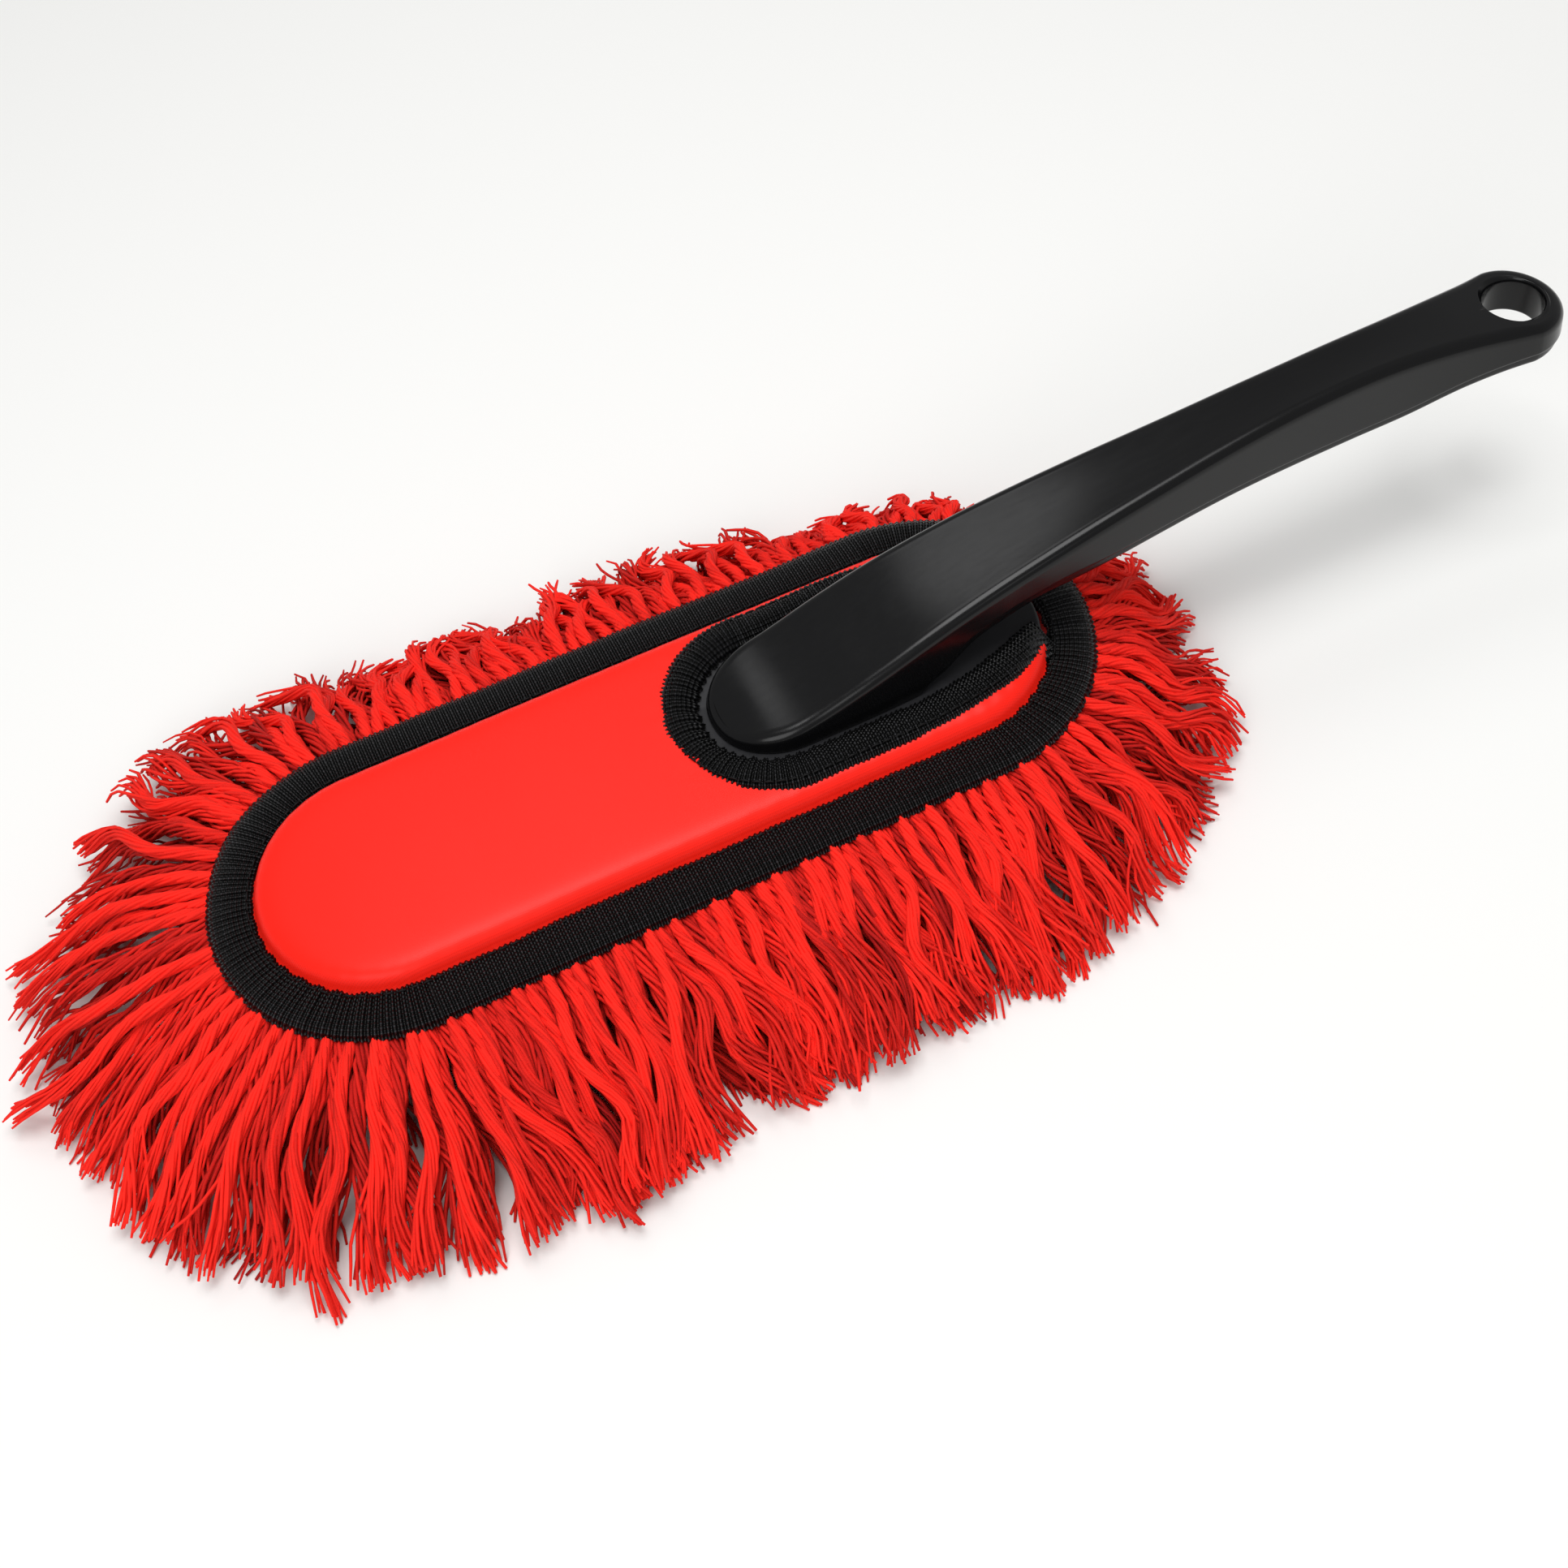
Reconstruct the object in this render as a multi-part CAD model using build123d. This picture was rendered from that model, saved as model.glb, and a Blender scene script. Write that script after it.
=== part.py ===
from build123d import *

import math
import os

# Cotton mop duster: a flat plastic paddle on a rising handle, inside a removable cover whose edge
# and underside carry rows of cotton strands. Millimetres, +Z up, +X towards the end of the handle.
# The duster rests on its strands: Z = 0 is that surface, and the origin is under the middle of the
# whole length. Everything is first built around the head, with its origin at the middle of the head
# in the plane of the edge binding, and is moved into place when it is written.

# --- Head and cover -------------------------------------------------------------------------
HEAD_Z = 30.0                # plane of the edge binding above the surface it rests on
HEAD_HALF_STRAIGHT = 75.3    # half of the straight stretch of the head's sides
HEAD_RADIUS = 45.5           # round ends, and half the width of the cover

TAPE_WIDTH = 13.0            # binding tape seen from above
TAPE_LEAF = 0.7              # thickness of one leaf of the folded tape
TAPE_TOP_Z = 1.3
TAPE_BOTTOM_Z = -1.7
STITCH_WIDTH = 0.8
STITCH_HEIGHT = 0.3
STITCH_INSET = 1.8           # from the tape's inner edge

BACKING_TOP_Z = -0.1
BACKING_THICKNESS = 0.8
PANEL_THICKNESS = 0.6
PANEL_CREST_Z = 7.9          # outside of the top panel at the middle of the head
PANEL_SHOULDER_Z = 7.0
FABRIC_HEM = 2.6             # how far the fabrics stop short of the tape's fold

# --- U-shaped slot of the cover, open towards the handle ------------------------------------
SLOT_CENTRE_X = 32.0         # centre of the round nose of the slot
SLOT_OUTER = 29.4            # outside of the slot binding
SLOT_TAPE = 10.5             # width of the slot binding
SLOT_STRAIGHT_END_X = 58.0   # beyond this the legs close in
SLOT_LEG_RADIUS = 116.9
SLOT_LEG_END_X = 101.0
SLOT_BOTTOM_Z = 5.5
SLOT_TOP_Z = 7.8
ELASTIC_WIDTH = 6.0
ELASTIC_THICKNESS = 0.8
GAP = 0.3                    # clearance round soft pieces
REAR_OPENING_LENGTH = 16.0   # the top panel is open between the slot's legs, up to the tape
REAR_OPENING_WIDTH = 36.0
FOAM_END_X = 30.0            # the foam stops ahead of the paddle's screws

# --- Paddle ---------------------------------------------------------------------------------
PADDLE_RADIUS = 30.8
PADDLE_BOTTOM_Z = 1.9
PADDLE_TOP_Z = 5.2
PADDLE_SKIN = 1.6
PADDLE_RIM = 1.8
RIB_WIDTH = 1.4
RIB_COUNT = 9

# --- Handle: stations along X, from the middle of the head ------------------------------------
NOSE_X = 15.2                # round nose inside the slot
NOSE_LENGTH = 20.0
NOSE_HALF_WIDTH = 17.6
END_X = 264.3
END_RADIUS = 13.8
WAIST = [(54, 17.6), (90, 15.5), (126, 12.9), (162, 10.4), (190, 9.5), (216, 10.0), (236, 11.8)]
TOP_LINE = [(14, 6.6), (22, 9.6), (36, 12.9), (54, 18.9), (72, 24.8), (90, 29.4), (108, 32.8),
            (144, 37.9), (180, 41.8), (202, 42.8), (226, 41.9), (246, 39.9), (264.3, 37.9)]
UNDER_LINE = [(66, 5.2), (74, 8.6), (82, 14.4), (92, 17.4), (126, 19.4), (162, 21.2), (196, 21.6),
              (214, 22.4), (232, 25.6), (248, 27.3), (264.3, 27.4)]
SHELL_WALL = 2.2
LOWER_SHELL = 3.2            # height of the lower shell above the underside
LOWER_INSET = 0.6            # the lower shell stands back under the upper shell's lip
LOWER_START_X = 69.0
INNER_RIBS_X = [82, 108, 150, 176, 226]

HOLE_X = 250.8               # hanging hole through the flared end
HOLE_RADIUS = 8.0
HOLE_WALL = 2.2
HOLE_WALL_TOP_Z = 36.6       # the hole's straight wall ends here and flares out above
HOLE_WALL_BOTTOM_Z = 28.9
FLARE_HEIGHT = 6.0           # length of each flare's cone, of which only the start cuts the shell
FLARE_SLOPE = 0.6            # how fast the flare widens

SCREW_RADIUS = 1.5
SCREW_HEAD_RADIUS = 3.0
SCREW_HEAD_HEIGHT = 1.6
BOSS_RADIUS = 3.6
PADDLE_SCREW_X = [38.0, 52.0, 65.0]
PADDLE_SCREW_LENGTH = 7.0
HANDLE_SCREW_X = [120.0, 200.0]
HANDLE_SCREW_LENGTH = 10.0

# --- Cotton strands, as rings round the head --------------------------------------------------
FLOOR = -HEAD_Z
FRINGE_REACH = 52.0          # how far the strands stand out beyond the binding
ROW_GAP = 0.5

# Middle of the head, which puts the origin halfway along the duster.
HEAD_X = (HEAD_HALF_STRAIGHT + HEAD_RADIUS + FRINGE_REACH - END_X) / 2


def section(points):
    """A closed section in the XZ plane from (radius, height) points."""
    return make_face(Polyline(*[(r, 0, z) for r, z in points], close=True))


def smooth_section(upper, lower):
    """A section between two smooth lines, both listed from the inside outwards."""
    top = Spline(*[(r, 0, z) for r, z in upper])
    bottom = Spline(*[(r, 0, z) for r, z in lower])
    inner = Line(top @ 0, bottom @ 0)
    outer = Line(top @ 1, bottom @ 1)
    return make_face([top, outer, bottom, inner])


def round_head(profile):
    """Carry a section round the head: two straight sides and two half turns."""
    side = Rot(0, 0, -90) * profile
    straight = extrude(side, amount=2 * HEAD_HALF_STRAIGHT, dir=(1, 0, 0))
    near = Pos(-HEAD_HALF_STRAIGHT, 0, 0) * straight
    far = Rot(0, 0, 180) * near
    turn = Pos(HEAD_HALF_STRAIGHT, 0, 0) * revolve(side, Axis.Z, 180)
    return near + far + turn + Rot(0, 0, 180) * turn


def plate(radius, bottom, top):
    """A flat plate with the head's outline."""
    outline = Rectangle(2 * HEAD_HALF_STRAIGHT, 2 * radius)
    for side in (-1, 1):
        outline += Pos(side * HEAD_HALF_STRAIGHT, 0) * Circle(radius)
    return Pos(0, 0, bottom) * extrude(outline, top - bottom)


def slot_face(outside):
    """The area inside the slot binding's outer edge, drawn in by a distance, open to the rear."""
    half = SLOT_OUTER - outside
    radius = SLOT_LEG_RADIUS - outside
    centre_y = SLOT_LEG_RADIUS - SLOT_OUTER
    turn = math.asin((SLOT_LEG_END_X - SLOT_STRAIGHT_END_X) / SLOT_LEG_RADIUS)
    end_x = SLOT_STRAIGHT_END_X + radius * math.sin(turn)
    end_y = radius * math.cos(turn) - centre_y
    mid_x = SLOT_STRAIGHT_END_X + radius * math.sin(turn / 2)
    mid_y = radius * math.cos(turn / 2) - centre_y
    nose = ThreePointArc((SLOT_CENTRE_X, half), (SLOT_CENTRE_X - half, 0), (SLOT_CENTRE_X, -half))
    edges = [nose, Line((end_x, end_y), (end_x, -end_y))]
    for side in (-1, 1):
        edges.append(Line((SLOT_CENTRE_X, side * half), (SLOT_STRAIGHT_END_X, side * half)))
        edges.append(ThreePointArc((SLOT_STRAIGHT_END_X, side * half), (mid_x, side * mid_y),
                                   (end_x, side * end_y)))
    return make_face(edges)


def slot_band(outside, width, bottom, top):
    """A U-shaped band that follows the slot's edge."""
    band = slot_face(outside) - slot_face(outside + width)
    rear = Pos(SLOT_LEG_END_X + 20, 0) * Rectangle(46, 200)
    return Pos(0, 0, bottom) * extrude(band - rear, top - bottom)


def plan_outline(inset):
    """The handle seen from above, drawn in by inset."""
    nose_centre = NOSE_X + NOSE_LENGTH
    nose_half = NOSE_HALF_WIDTH - inset
    waist = [(x, half - inset) for x, half in WAIST]
    end_centre = END_X - END_RADIUS
    radius = END_RADIUS - inset
    edges = [ThreePointArc((end_centre, radius), (end_centre + radius, 0), (end_centre, -radius))]
    for side in (-1, 1):
        points = [(nose_centre, nose_half)] + waist + [(end_centre, radius)]
        edges.append(Spline(*[(x, side * y) for x, y in points], tangents=[(1, 0), (1, 0)]))
    edges.append(Spline((nose_centre, nose_half), (NOSE_X + inset, 0), (nose_centre, -nose_half),
                        tangents=[(-1, 0), (1, 0)]))
    return extrude(make_face(edges), 80)


def raised(line, height):
    """A side line moved up by a height."""
    return [(x, z + height) for x, z in line]


def above_paddle():
    """Everything from the paddle's top upwards."""
    return Pos(120, 0, PADDLE_TOP_Z + 50) * Box(320, 80, 100)


def under_handle(height):
    """Everything below the underside of the handle, raised by a height."""
    line = raised(UNDER_LINE, height)
    start, end = line[0], line[-1]
    edges = [Spline(*[(x, 0, z) for x, z in line]),
             Line((start[0], 0, start[1]), (start[0], 0, -40)),
             Line((start[0], 0, -40), (end[0] + 5, 0, -40)),
             Line((end[0] + 5, 0, -40), (end[0] + 5, 0, end[1])),
             Line((end[0] + 5, 0, end[1]), (end[0], 0, end[1]))]
    return extrude(make_face(edges), 30, both=True, dir=(0, 1, 0))


def over_handle(drop):
    """Everything below the top line of the handle, lowered by a drop."""
    line = raised(TOP_LINE, -drop)
    start, end = line[0], line[-1]
    edges = [Spline(*[(x, 0, z) for x, z in line]),
             Line((start[0], 0, start[1]), (start[0] - 5, 0, start[1])),
             Line((start[0] - 5, 0, start[1]), (start[0] - 5, 0, -10)),
             Line((start[0] - 5, 0, -10), (end[0] + 5, 0, -10)),
             Line((end[0] + 5, 0, -10), (end[0] + 5, 0, end[1])),
             Line((end[0] + 5, 0, end[1]), (end[0], 0, end[1]))]
    return extrude(make_face(edges), 30, both=True, dir=(0, 1, 0))


def handle_solid(inset, drop, lift):
    """The handle's outer form, drawn in at the sides, lowered at the top and raised below."""
    body = plan_outline(inset) & over_handle(drop)
    return (body & above_paddle()) - under_handle(lift)


def flare(bottom_z, top_z, radius_low, radius_high):
    """A cone that rounds the mouth of the hanging hole."""
    height = top_z - bottom_z
    return Pos(HOLE_X, 0, (bottom_z + top_z) / 2) * Cone(radius_low, radius_high, height)


def rod(x, radius, bottom, top):
    """An upright cylinder on the middle line."""
    return Pos(x, 0, (bottom + top) / 2) * Cylinder(radius, top - bottom)


def line_height(line, x):
    """Height of a side line at x, straight between its stations."""
    for (x0, z0), (x1, z1) in zip(line, line[1:]):
        if x0 <= x <= x1:
            return z0 + (z1 - z0) * (x - x0) / (x1 - x0)
    return line[-1][1]


def hanging_hole():
    """The hole with its flared mouths, as one cutter."""
    cutter = rod(HOLE_X, HOLE_RADIUS, 0, 80)
    wide = HOLE_RADIUS + FLARE_HEIGHT * FLARE_SLOPE
    cutter += flare(HOLE_WALL_TOP_Z, HOLE_WALL_TOP_Z + FLARE_HEIGHT, HOLE_RADIUS, wide)
    cutter += flare(HOLE_WALL_BOTTOM_Z - FLARE_HEIGHT, HOLE_WALL_BOTTOM_Z, wide, HOLE_RADIUS)
    return cutter


def handle_upper_shell():
    """Top shell: open below, with cross ribs, screw bosses and the hanging hole's tube."""
    outside = handle_solid(0, 0, LOWER_SHELL)
    tube = rod(HOLE_X, HOLE_RADIUS + HOLE_WALL, 0, 80) & handle_solid(0, 0, 0)
    shell = outside - handle_solid(SHELL_WALL, SHELL_WALL, -60) + tube
    for x in INNER_RIBS_X:
        shell += Pos(x, 0, 40) * Box(RIB_WIDTH, 60, 80) & outside
    for x in PADDLE_SCREW_X + HANDLE_SCREW_X:
        shell += rod(x, BOSS_RADIUS, 0, 80) & outside
    for x in PADDLE_SCREW_X:
        shell -= rod(x, SCREW_RADIUS, 0, PADDLE_TOP_Z + PADDLE_SCREW_LENGTH)
    for x in HANDLE_SCREW_X:
        seat = line_height(UNDER_LINE, x) + SCREW_HEAD_HEIGHT
        shell -= rod(x, SCREW_RADIUS, 0, seat + HANDLE_SCREW_LENGTH)
    return shell - hanging_hole()


def handle_lower_shell():
    """Shallow lower shell that closes the grip from below, set back under the upper lip."""
    strip = handle_solid(LOWER_INSET, 0, 0) - handle_solid(-5, 0, LOWER_SHELL)
    strip &= Pos(LOWER_START_X + 150, 0, 40) * Box(300, 60, 80)
    strip -= rod(HOLE_X, HOLE_RADIUS + HOLE_WALL + 0.1, 0, 80)
    for x in HANDLE_SCREW_X:
        seat = line_height(UNDER_LINE, x) + SCREW_HEAD_HEIGHT
        strip -= rod(x, SCREW_RADIUS, 0, 60)
        strip -= rod(x, SCREW_HEAD_RADIUS, 0, seat)
    return strip


def screw(x, seat, length):
    """Cross-head self-tapping screw, head downwards, its head's top face at the seat height."""
    head = rod(x, SCREW_HEAD_RADIUS - 0.1, seat - SCREW_HEAD_HEIGHT + 0.1, seat)
    head = fillet(head.edges().group_by(Axis.Z)[0], 0.7)
    shank = rod(x, SCREW_RADIUS, seat, seat + length - 0.5)
    recess = Pos(x, 0, seat - SCREW_HEAD_HEIGHT) * (Box(3.0, 0.8, 1.6) + Box(0.8, 3.0, 1.6))
    return head + shank - recess


def paddle():
    """Stiff plate with a rim, a spine, cross ribs and screw bosses under its skin."""
    body = plate(PADDLE_RADIUS, PADDLE_BOTTOM_Z, PADDLE_TOP_Z)
    pocket = plate(PADDLE_RADIUS - PADDLE_RIM, PADDLE_BOTTOM_Z, PADDLE_TOP_Z - PADDLE_SKIN)
    height = PADDLE_TOP_Z - PADDLE_SKIN - PADDLE_BOTTOM_Z
    middle = Pos(0, 0, PADDLE_BOTTOM_Z + height / 2)
    length = 2 * (HEAD_HALF_STRAIGHT + PADDLE_RADIUS)
    ribs = middle * Box(length, RIB_WIDTH, height)
    for index in range(RIB_COUNT):
        x = (index - (RIB_COUNT - 1) / 2) * length / (RIB_COUNT + 1)
        ribs += middle * Pos(x, 0, 0) * Box(RIB_WIDTH, 2 * PADDLE_RADIUS, height)
    for x in PADDLE_SCREW_X:
        ribs += rod(x, BOSS_RADIUS + 1, PADDLE_BOTTOM_Z, PADDLE_TOP_Z)
    body = body - pocket + (ribs & plate(PADDLE_RADIUS - 1, PADDLE_BOTTOM_Z, PADDLE_TOP_Z))
    for x in PADDLE_SCREW_X:
        body -= rod(x, SCREW_RADIUS, 0, PADDLE_TOP_Z + 1)
        body -= rod(x, SCREW_HEAD_RADIUS, 0, PADDLE_BOTTOM_Z + SCREW_HEAD_HEIGHT)
    top_edge = body.edges().filter_by(lambda e: abs(e.center().Z - PADDLE_TOP_Z) < 0.01)
    outline = [e for e in top_edge if e.length > 20]
    return fillet(outline, 1.0)


def top_panel():
    """Woven cover fabric, stretched over the paddle and sewn into the tape all round."""
    inner_edge = HEAD_RADIUS - TAPE_WIDTH
    hem = HEAD_RADIUS - FABRIC_HEM
    outer = [(0, PANEL_CREST_Z), (14, PANEL_CREST_Z - 0.25), (26, PANEL_SHOULDER_Z + 0.1),
             (30.9, PANEL_SHOULDER_Z - 0.7), (32.3, PANEL_SHOULDER_Z - 2.8), (inner_edge - 0.05, 1.6),
             (inner_edge, 0.5), (hem, 0.5)]
    inner = [(0, PANEL_CREST_Z - PANEL_THICKNESS), (14, PANEL_CREST_Z - 0.25 - PANEL_THICKNESS),
             (25.8, PANEL_SHOULDER_Z - 0.5), (30.6, PANEL_SHOULDER_Z - 1.4),
             (31.7, PANEL_SHOULDER_Z - 3.0), (inner_edge - 0.6, 1.4), (inner_edge - 0.5, -0.05),
             (hem, -0.05)]
    panel = round_head(section(outer + inner[::-1]))
    opening = extrude(slot_face(-GAP), 20)
    opening += Pos(SLOT_LEG_END_X, 0, 10) * Box(REAR_OPENING_LENGTH, REAR_OPENING_WIDTH, 20)
    opening &= plate(inner_edge + 0.2, 0, 20)
    return panel - opening


def foam_pad():
    """Thin foam between the paddle and the top panel, ahead of the slot."""
    pad = round_head(section([(0, PADDLE_TOP_Z + 0.2), (28.6, PADDLE_TOP_Z + 0.2), (28.6, 5.8),
                              (25, 6.2), (14, 6.8), (0, 7.0)]))
    pad -= extrude(slot_face(-2 * GAP), 20)
    return pad - Pos(FOAM_END_X + 100, 0, 0) * Box(200, 200, 40)


def backing_panel():
    """Woven backing under the paddle that the strand rows are sewn to."""
    return plate(HEAD_RADIUS - FABRIC_HEM, BACKING_TOP_Z - BACKING_THICKNESS, BACKING_TOP_Z)


def edge_binding():
    """Tape folded round the edge of the cover, a C in section that is open inwards."""
    inner = HEAD_RADIUS - TAPE_WIDTH
    fold = HEAD_RADIUS - 1.4
    bevel = 0.7
    return round_head(section([
        (inner, TAPE_TOP_Z), (HEAD_RADIUS - bevel, TAPE_TOP_Z), (HEAD_RADIUS, TAPE_TOP_Z - bevel),
        (HEAD_RADIUS, TAPE_BOTTOM_Z + bevel), (HEAD_RADIUS - bevel, TAPE_BOTTOM_Z),
        (inner, TAPE_BOTTOM_Z), (inner, TAPE_BOTTOM_Z + TAPE_LEAF - 0.05),
        (fold, TAPE_BOTTOM_Z + TAPE_LEAF - 0.05), (fold, TAPE_TOP_Z - TAPE_LEAF + 0.05),
        (inner + 1.3, TAPE_TOP_Z - TAPE_LEAF + 0.05)]))


def ring(radius, width, bottom, height):
    """A flat thread line round the head."""
    half = width / 2
    return round_head(section([(radius - half, bottom), (radius + half, bottom),
                               (radius + half, bottom + height), (radius - half, bottom + height)]))


def edge_stitching():
    """Row of thread near the inner edge of the edge binding."""
    return ring(HEAD_RADIUS - TAPE_WIDTH + STITCH_INSET, STITCH_WIDTH, TAPE_TOP_Z, STITCH_HEIGHT)


def row_stitching():
    """Thread lines that fasten the underside rows through the backing."""
    lines = ring(ROW_ROOTS[0], STITCH_WIDTH, BACKING_TOP_Z, STITCH_HEIGHT)
    for root in ROW_ROOTS[1:]:
        lines += ring(root, STITCH_WIDTH, BACKING_TOP_Z, STITCH_HEIGHT)
    return lines


def slot_binding():
    """Folded tape round the slot, with a channel inside for the elastic."""
    band = slot_band(0, SLOT_TAPE, SLOT_BOTTOM_Z, SLOT_TOP_Z)
    middle = (SLOT_BOTTOM_Z + SLOT_TOP_Z) / 2
    margin = (SLOT_TAPE - ELASTIC_WIDTH) / 2 - 0.2
    half = ELASTIC_THICKNESS / 2 + 0.15
    return band - slot_band(margin, ELASTIC_WIDTH + 0.4, middle - half, middle + half)


def slot_elastic():
    """Flat elastic inside the slot binding."""
    middle = (SLOT_BOTTOM_Z + SLOT_TOP_Z) / 2
    half = ELASTIC_THICKNESS / 2
    return slot_band((SLOT_TAPE - ELASTIC_WIDTH) / 2, ELASTIC_WIDTH, middle - half, middle + half)


def slot_stitching():
    """Row of thread near the outer edge of the slot binding."""
    return slot_band(STITCH_INSET, STITCH_WIDTH, SLOT_TOP_Z, SLOT_TOP_Z + STITCH_HEIGHT)


# Underside rows: the radius where each is sewn on, and how far it spreads on the surface below.
ROW_ROOTS = [27.0, 17.0, 6.0]
ROW_FEET = [(38.0, 53.5), (20.5, 37.5), (0.0, 20.0)]
ROW_ROOT_Z = BACKING_TOP_Z - BACKING_THICKNESS - 0.1


def edge_row_line(drop, shorten):
    """The arched line of the edge strands, from the binding out and down to their tips."""
    start = HEAD_RADIUS - 6
    reach = HEAD_RADIUS + FRINGE_REACH - shorten
    points = []
    for step in range(6):
        t = step / 5
        radius = start + (reach - start) * t
        height = TAPE_BOTTOM_Z - 0.2 - (HEAD_Z - 8.0) * t ** 2.1
        points.append((radius, height - drop))
    return points


def fringe_edge_upper():
    """Outer row of strands: out from under the binding and down in an arch."""
    return round_head(smooth_section(edge_row_line(0, 0), edge_row_line(6.0, 5.0)))


def fringe_edge_lower():
    """Second row of edge strands, below the first, steeper and down to the surface."""
    upper = edge_row_line(6.0 + ROW_GAP, 5.0)[:5]
    foot_out, foot_in = upper[-1][0], ROW_FEET[0][1] + 1.5
    return round_head(section(upper + [(foot_out + 1.0, FLOOR + 1.2), (foot_out - 1.5, FLOOR),
                                       (foot_in, FLOOR), (foot_in - 1.0, FLOOR + 5.7)]))


def fringe_row(index):
    """One row sewn to the underside, spreading down to the surface."""
    root = ROW_ROOTS[index]
    foot_in, foot_out = ROW_FEET[index]
    top_in = max(root - 4.0, 0.0)
    top_out = root + 4.5
    return round_head(section([(top_in, ROW_ROOT_Z), (top_out, ROW_ROOT_Z),
                               (foot_out - 1.0, FLOOR + 6.0), (foot_out, FLOOR + 1.0),
                               (foot_out - 1.0, FLOOR), (foot_in, FLOOR),
                               (foot_in, FLOOR + 5.0) if foot_in else (0.0, FLOOR + 2.0)]))


NODES = {
    "handle_upper_shell": handle_upper_shell(),
    "handle_lower_shell": handle_lower_shell(),
    "handle_screws": Compound(children=[
        screw(x, line_height(UNDER_LINE, x) + SCREW_HEAD_HEIGHT, HANDLE_SCREW_LENGTH)
        for x in HANDLE_SCREW_X]),
    "paddle": paddle(),
    "paddle_screws": Compound(children=[
        screw(x, PADDLE_BOTTOM_Z + SCREW_HEAD_HEIGHT, PADDLE_SCREW_LENGTH)
        for x in PADDLE_SCREW_X]),
    "top_panel": top_panel(),
    "foam_pad": foam_pad(),
    "backing_panel": backing_panel(),
    "edge_binding": edge_binding(),
    "edge_stitching": edge_stitching(),
    "slot_binding": slot_binding(),
    "slot_elastic": slot_elastic(),
    "slot_stitching": slot_stitching(),
    "row_stitching": row_stitching(),
    "fringe_edge_upper": fringe_edge_upper(),
    "fringe_edge_lower": fringe_edge_lower(),
    "fringe_row_outer": fringe_row(0),
    "fringe_row_middle": fringe_row(1),
    "fringe_row_centre": fringe_row(2),
}

os.makedirs("parts", exist_ok=True)
for name, shape in NODES.items():
    export_step(Pos(HEAD_X, 0, HEAD_Z) * shape, f"parts/{name}.step")
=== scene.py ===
import logging
import math
from dataclasses import dataclass
from enum import Enum

import bmesh
import bpy
import numpy as np
from mathutils import Matrix, Vector


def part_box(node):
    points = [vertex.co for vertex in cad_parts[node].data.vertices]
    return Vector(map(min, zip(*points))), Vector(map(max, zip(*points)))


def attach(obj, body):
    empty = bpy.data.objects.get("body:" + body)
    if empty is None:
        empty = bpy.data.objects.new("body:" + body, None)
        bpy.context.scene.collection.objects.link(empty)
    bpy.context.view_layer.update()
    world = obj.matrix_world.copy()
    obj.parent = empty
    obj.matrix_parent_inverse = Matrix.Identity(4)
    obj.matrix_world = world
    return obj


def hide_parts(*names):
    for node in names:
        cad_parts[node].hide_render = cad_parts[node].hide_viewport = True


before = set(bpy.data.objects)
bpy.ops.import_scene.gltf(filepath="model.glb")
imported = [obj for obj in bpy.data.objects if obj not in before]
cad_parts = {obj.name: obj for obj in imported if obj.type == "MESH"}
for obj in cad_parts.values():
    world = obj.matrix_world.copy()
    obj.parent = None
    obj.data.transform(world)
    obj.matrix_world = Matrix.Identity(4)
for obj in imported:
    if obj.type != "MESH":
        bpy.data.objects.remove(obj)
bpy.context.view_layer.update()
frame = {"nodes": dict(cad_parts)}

LOG = logging.getLogger("duster")
MM = 0.001
DOUBLES = 0.01 * MM          # points closer than this are one point
RIB_MM = 1.45                # rib spacing of the tapes, coarser than the real one so that it shows
GOLDEN_ANGLE = 2.39996       # spreads threads evenly over a strand's section


class Body(Enum):
    """CAD bodies that the pieces ride on."""

    HANDLE = "handle_frame"
    COVER = "mop_cover"


class Slot(Enum):
    """Names of the record's material slots; the pieces are given their materials directly."""

    SHELL = "gloss_shell"
    PADDLE = "paddle_plastic"
    FABRIC = "cover_fabric"
    FOAM = "foam"
    CANVAS = "backing_canvas"
    TAPE = "binding_tape"
    BLACK_THREAD = "black_thread"
    RED_THREAD = "red_thread"
    STRAND = "cotton_strand"


# --------------------------------------------------------------------------- materials


def linear(hex_colour: str) -> tuple[float, float, float, float]:
    """Turn an sRGB hex colour into linear RGBA.

    Args:
        hex_colour: Six hex digits with a leading hash.

    Returns:
        Linear red, green and blue, with an alpha of 1.
    """
    channels = [int(hex_colour[i:i + 2], 16) / 255 for i in (1, 3, 5)]
    return (*[c / 12.92 if c <= 0.04045 else ((c + 0.055) / 1.055) ** 2.4 for c in channels], 1.0)


def add_node(tree: bpy.types.NodeTree, kind: str, settings: dict | None = None,
             inputs: dict | None = None) -> bpy.types.Node:
    """Add one node with its settings and its input values or links.

    Args:
        tree: Node tree that takes the node.
        kind: Blender's node type name.
        settings: Attributes to set on the node.
        inputs: Input name or number, to a value or to an output socket to link.

    Returns:
        The new node.
    """
    node = tree.nodes.new(kind)
    for key, value in (settings or {}).items():
        setattr(node, key, value)
    for key, value in (inputs or {}).items():
        if isinstance(value, bpy.types.NodeSocket):
            tree.links.new(value, node.inputs[key])
        else:
            node.inputs[key].default_value = value
    return node


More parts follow.
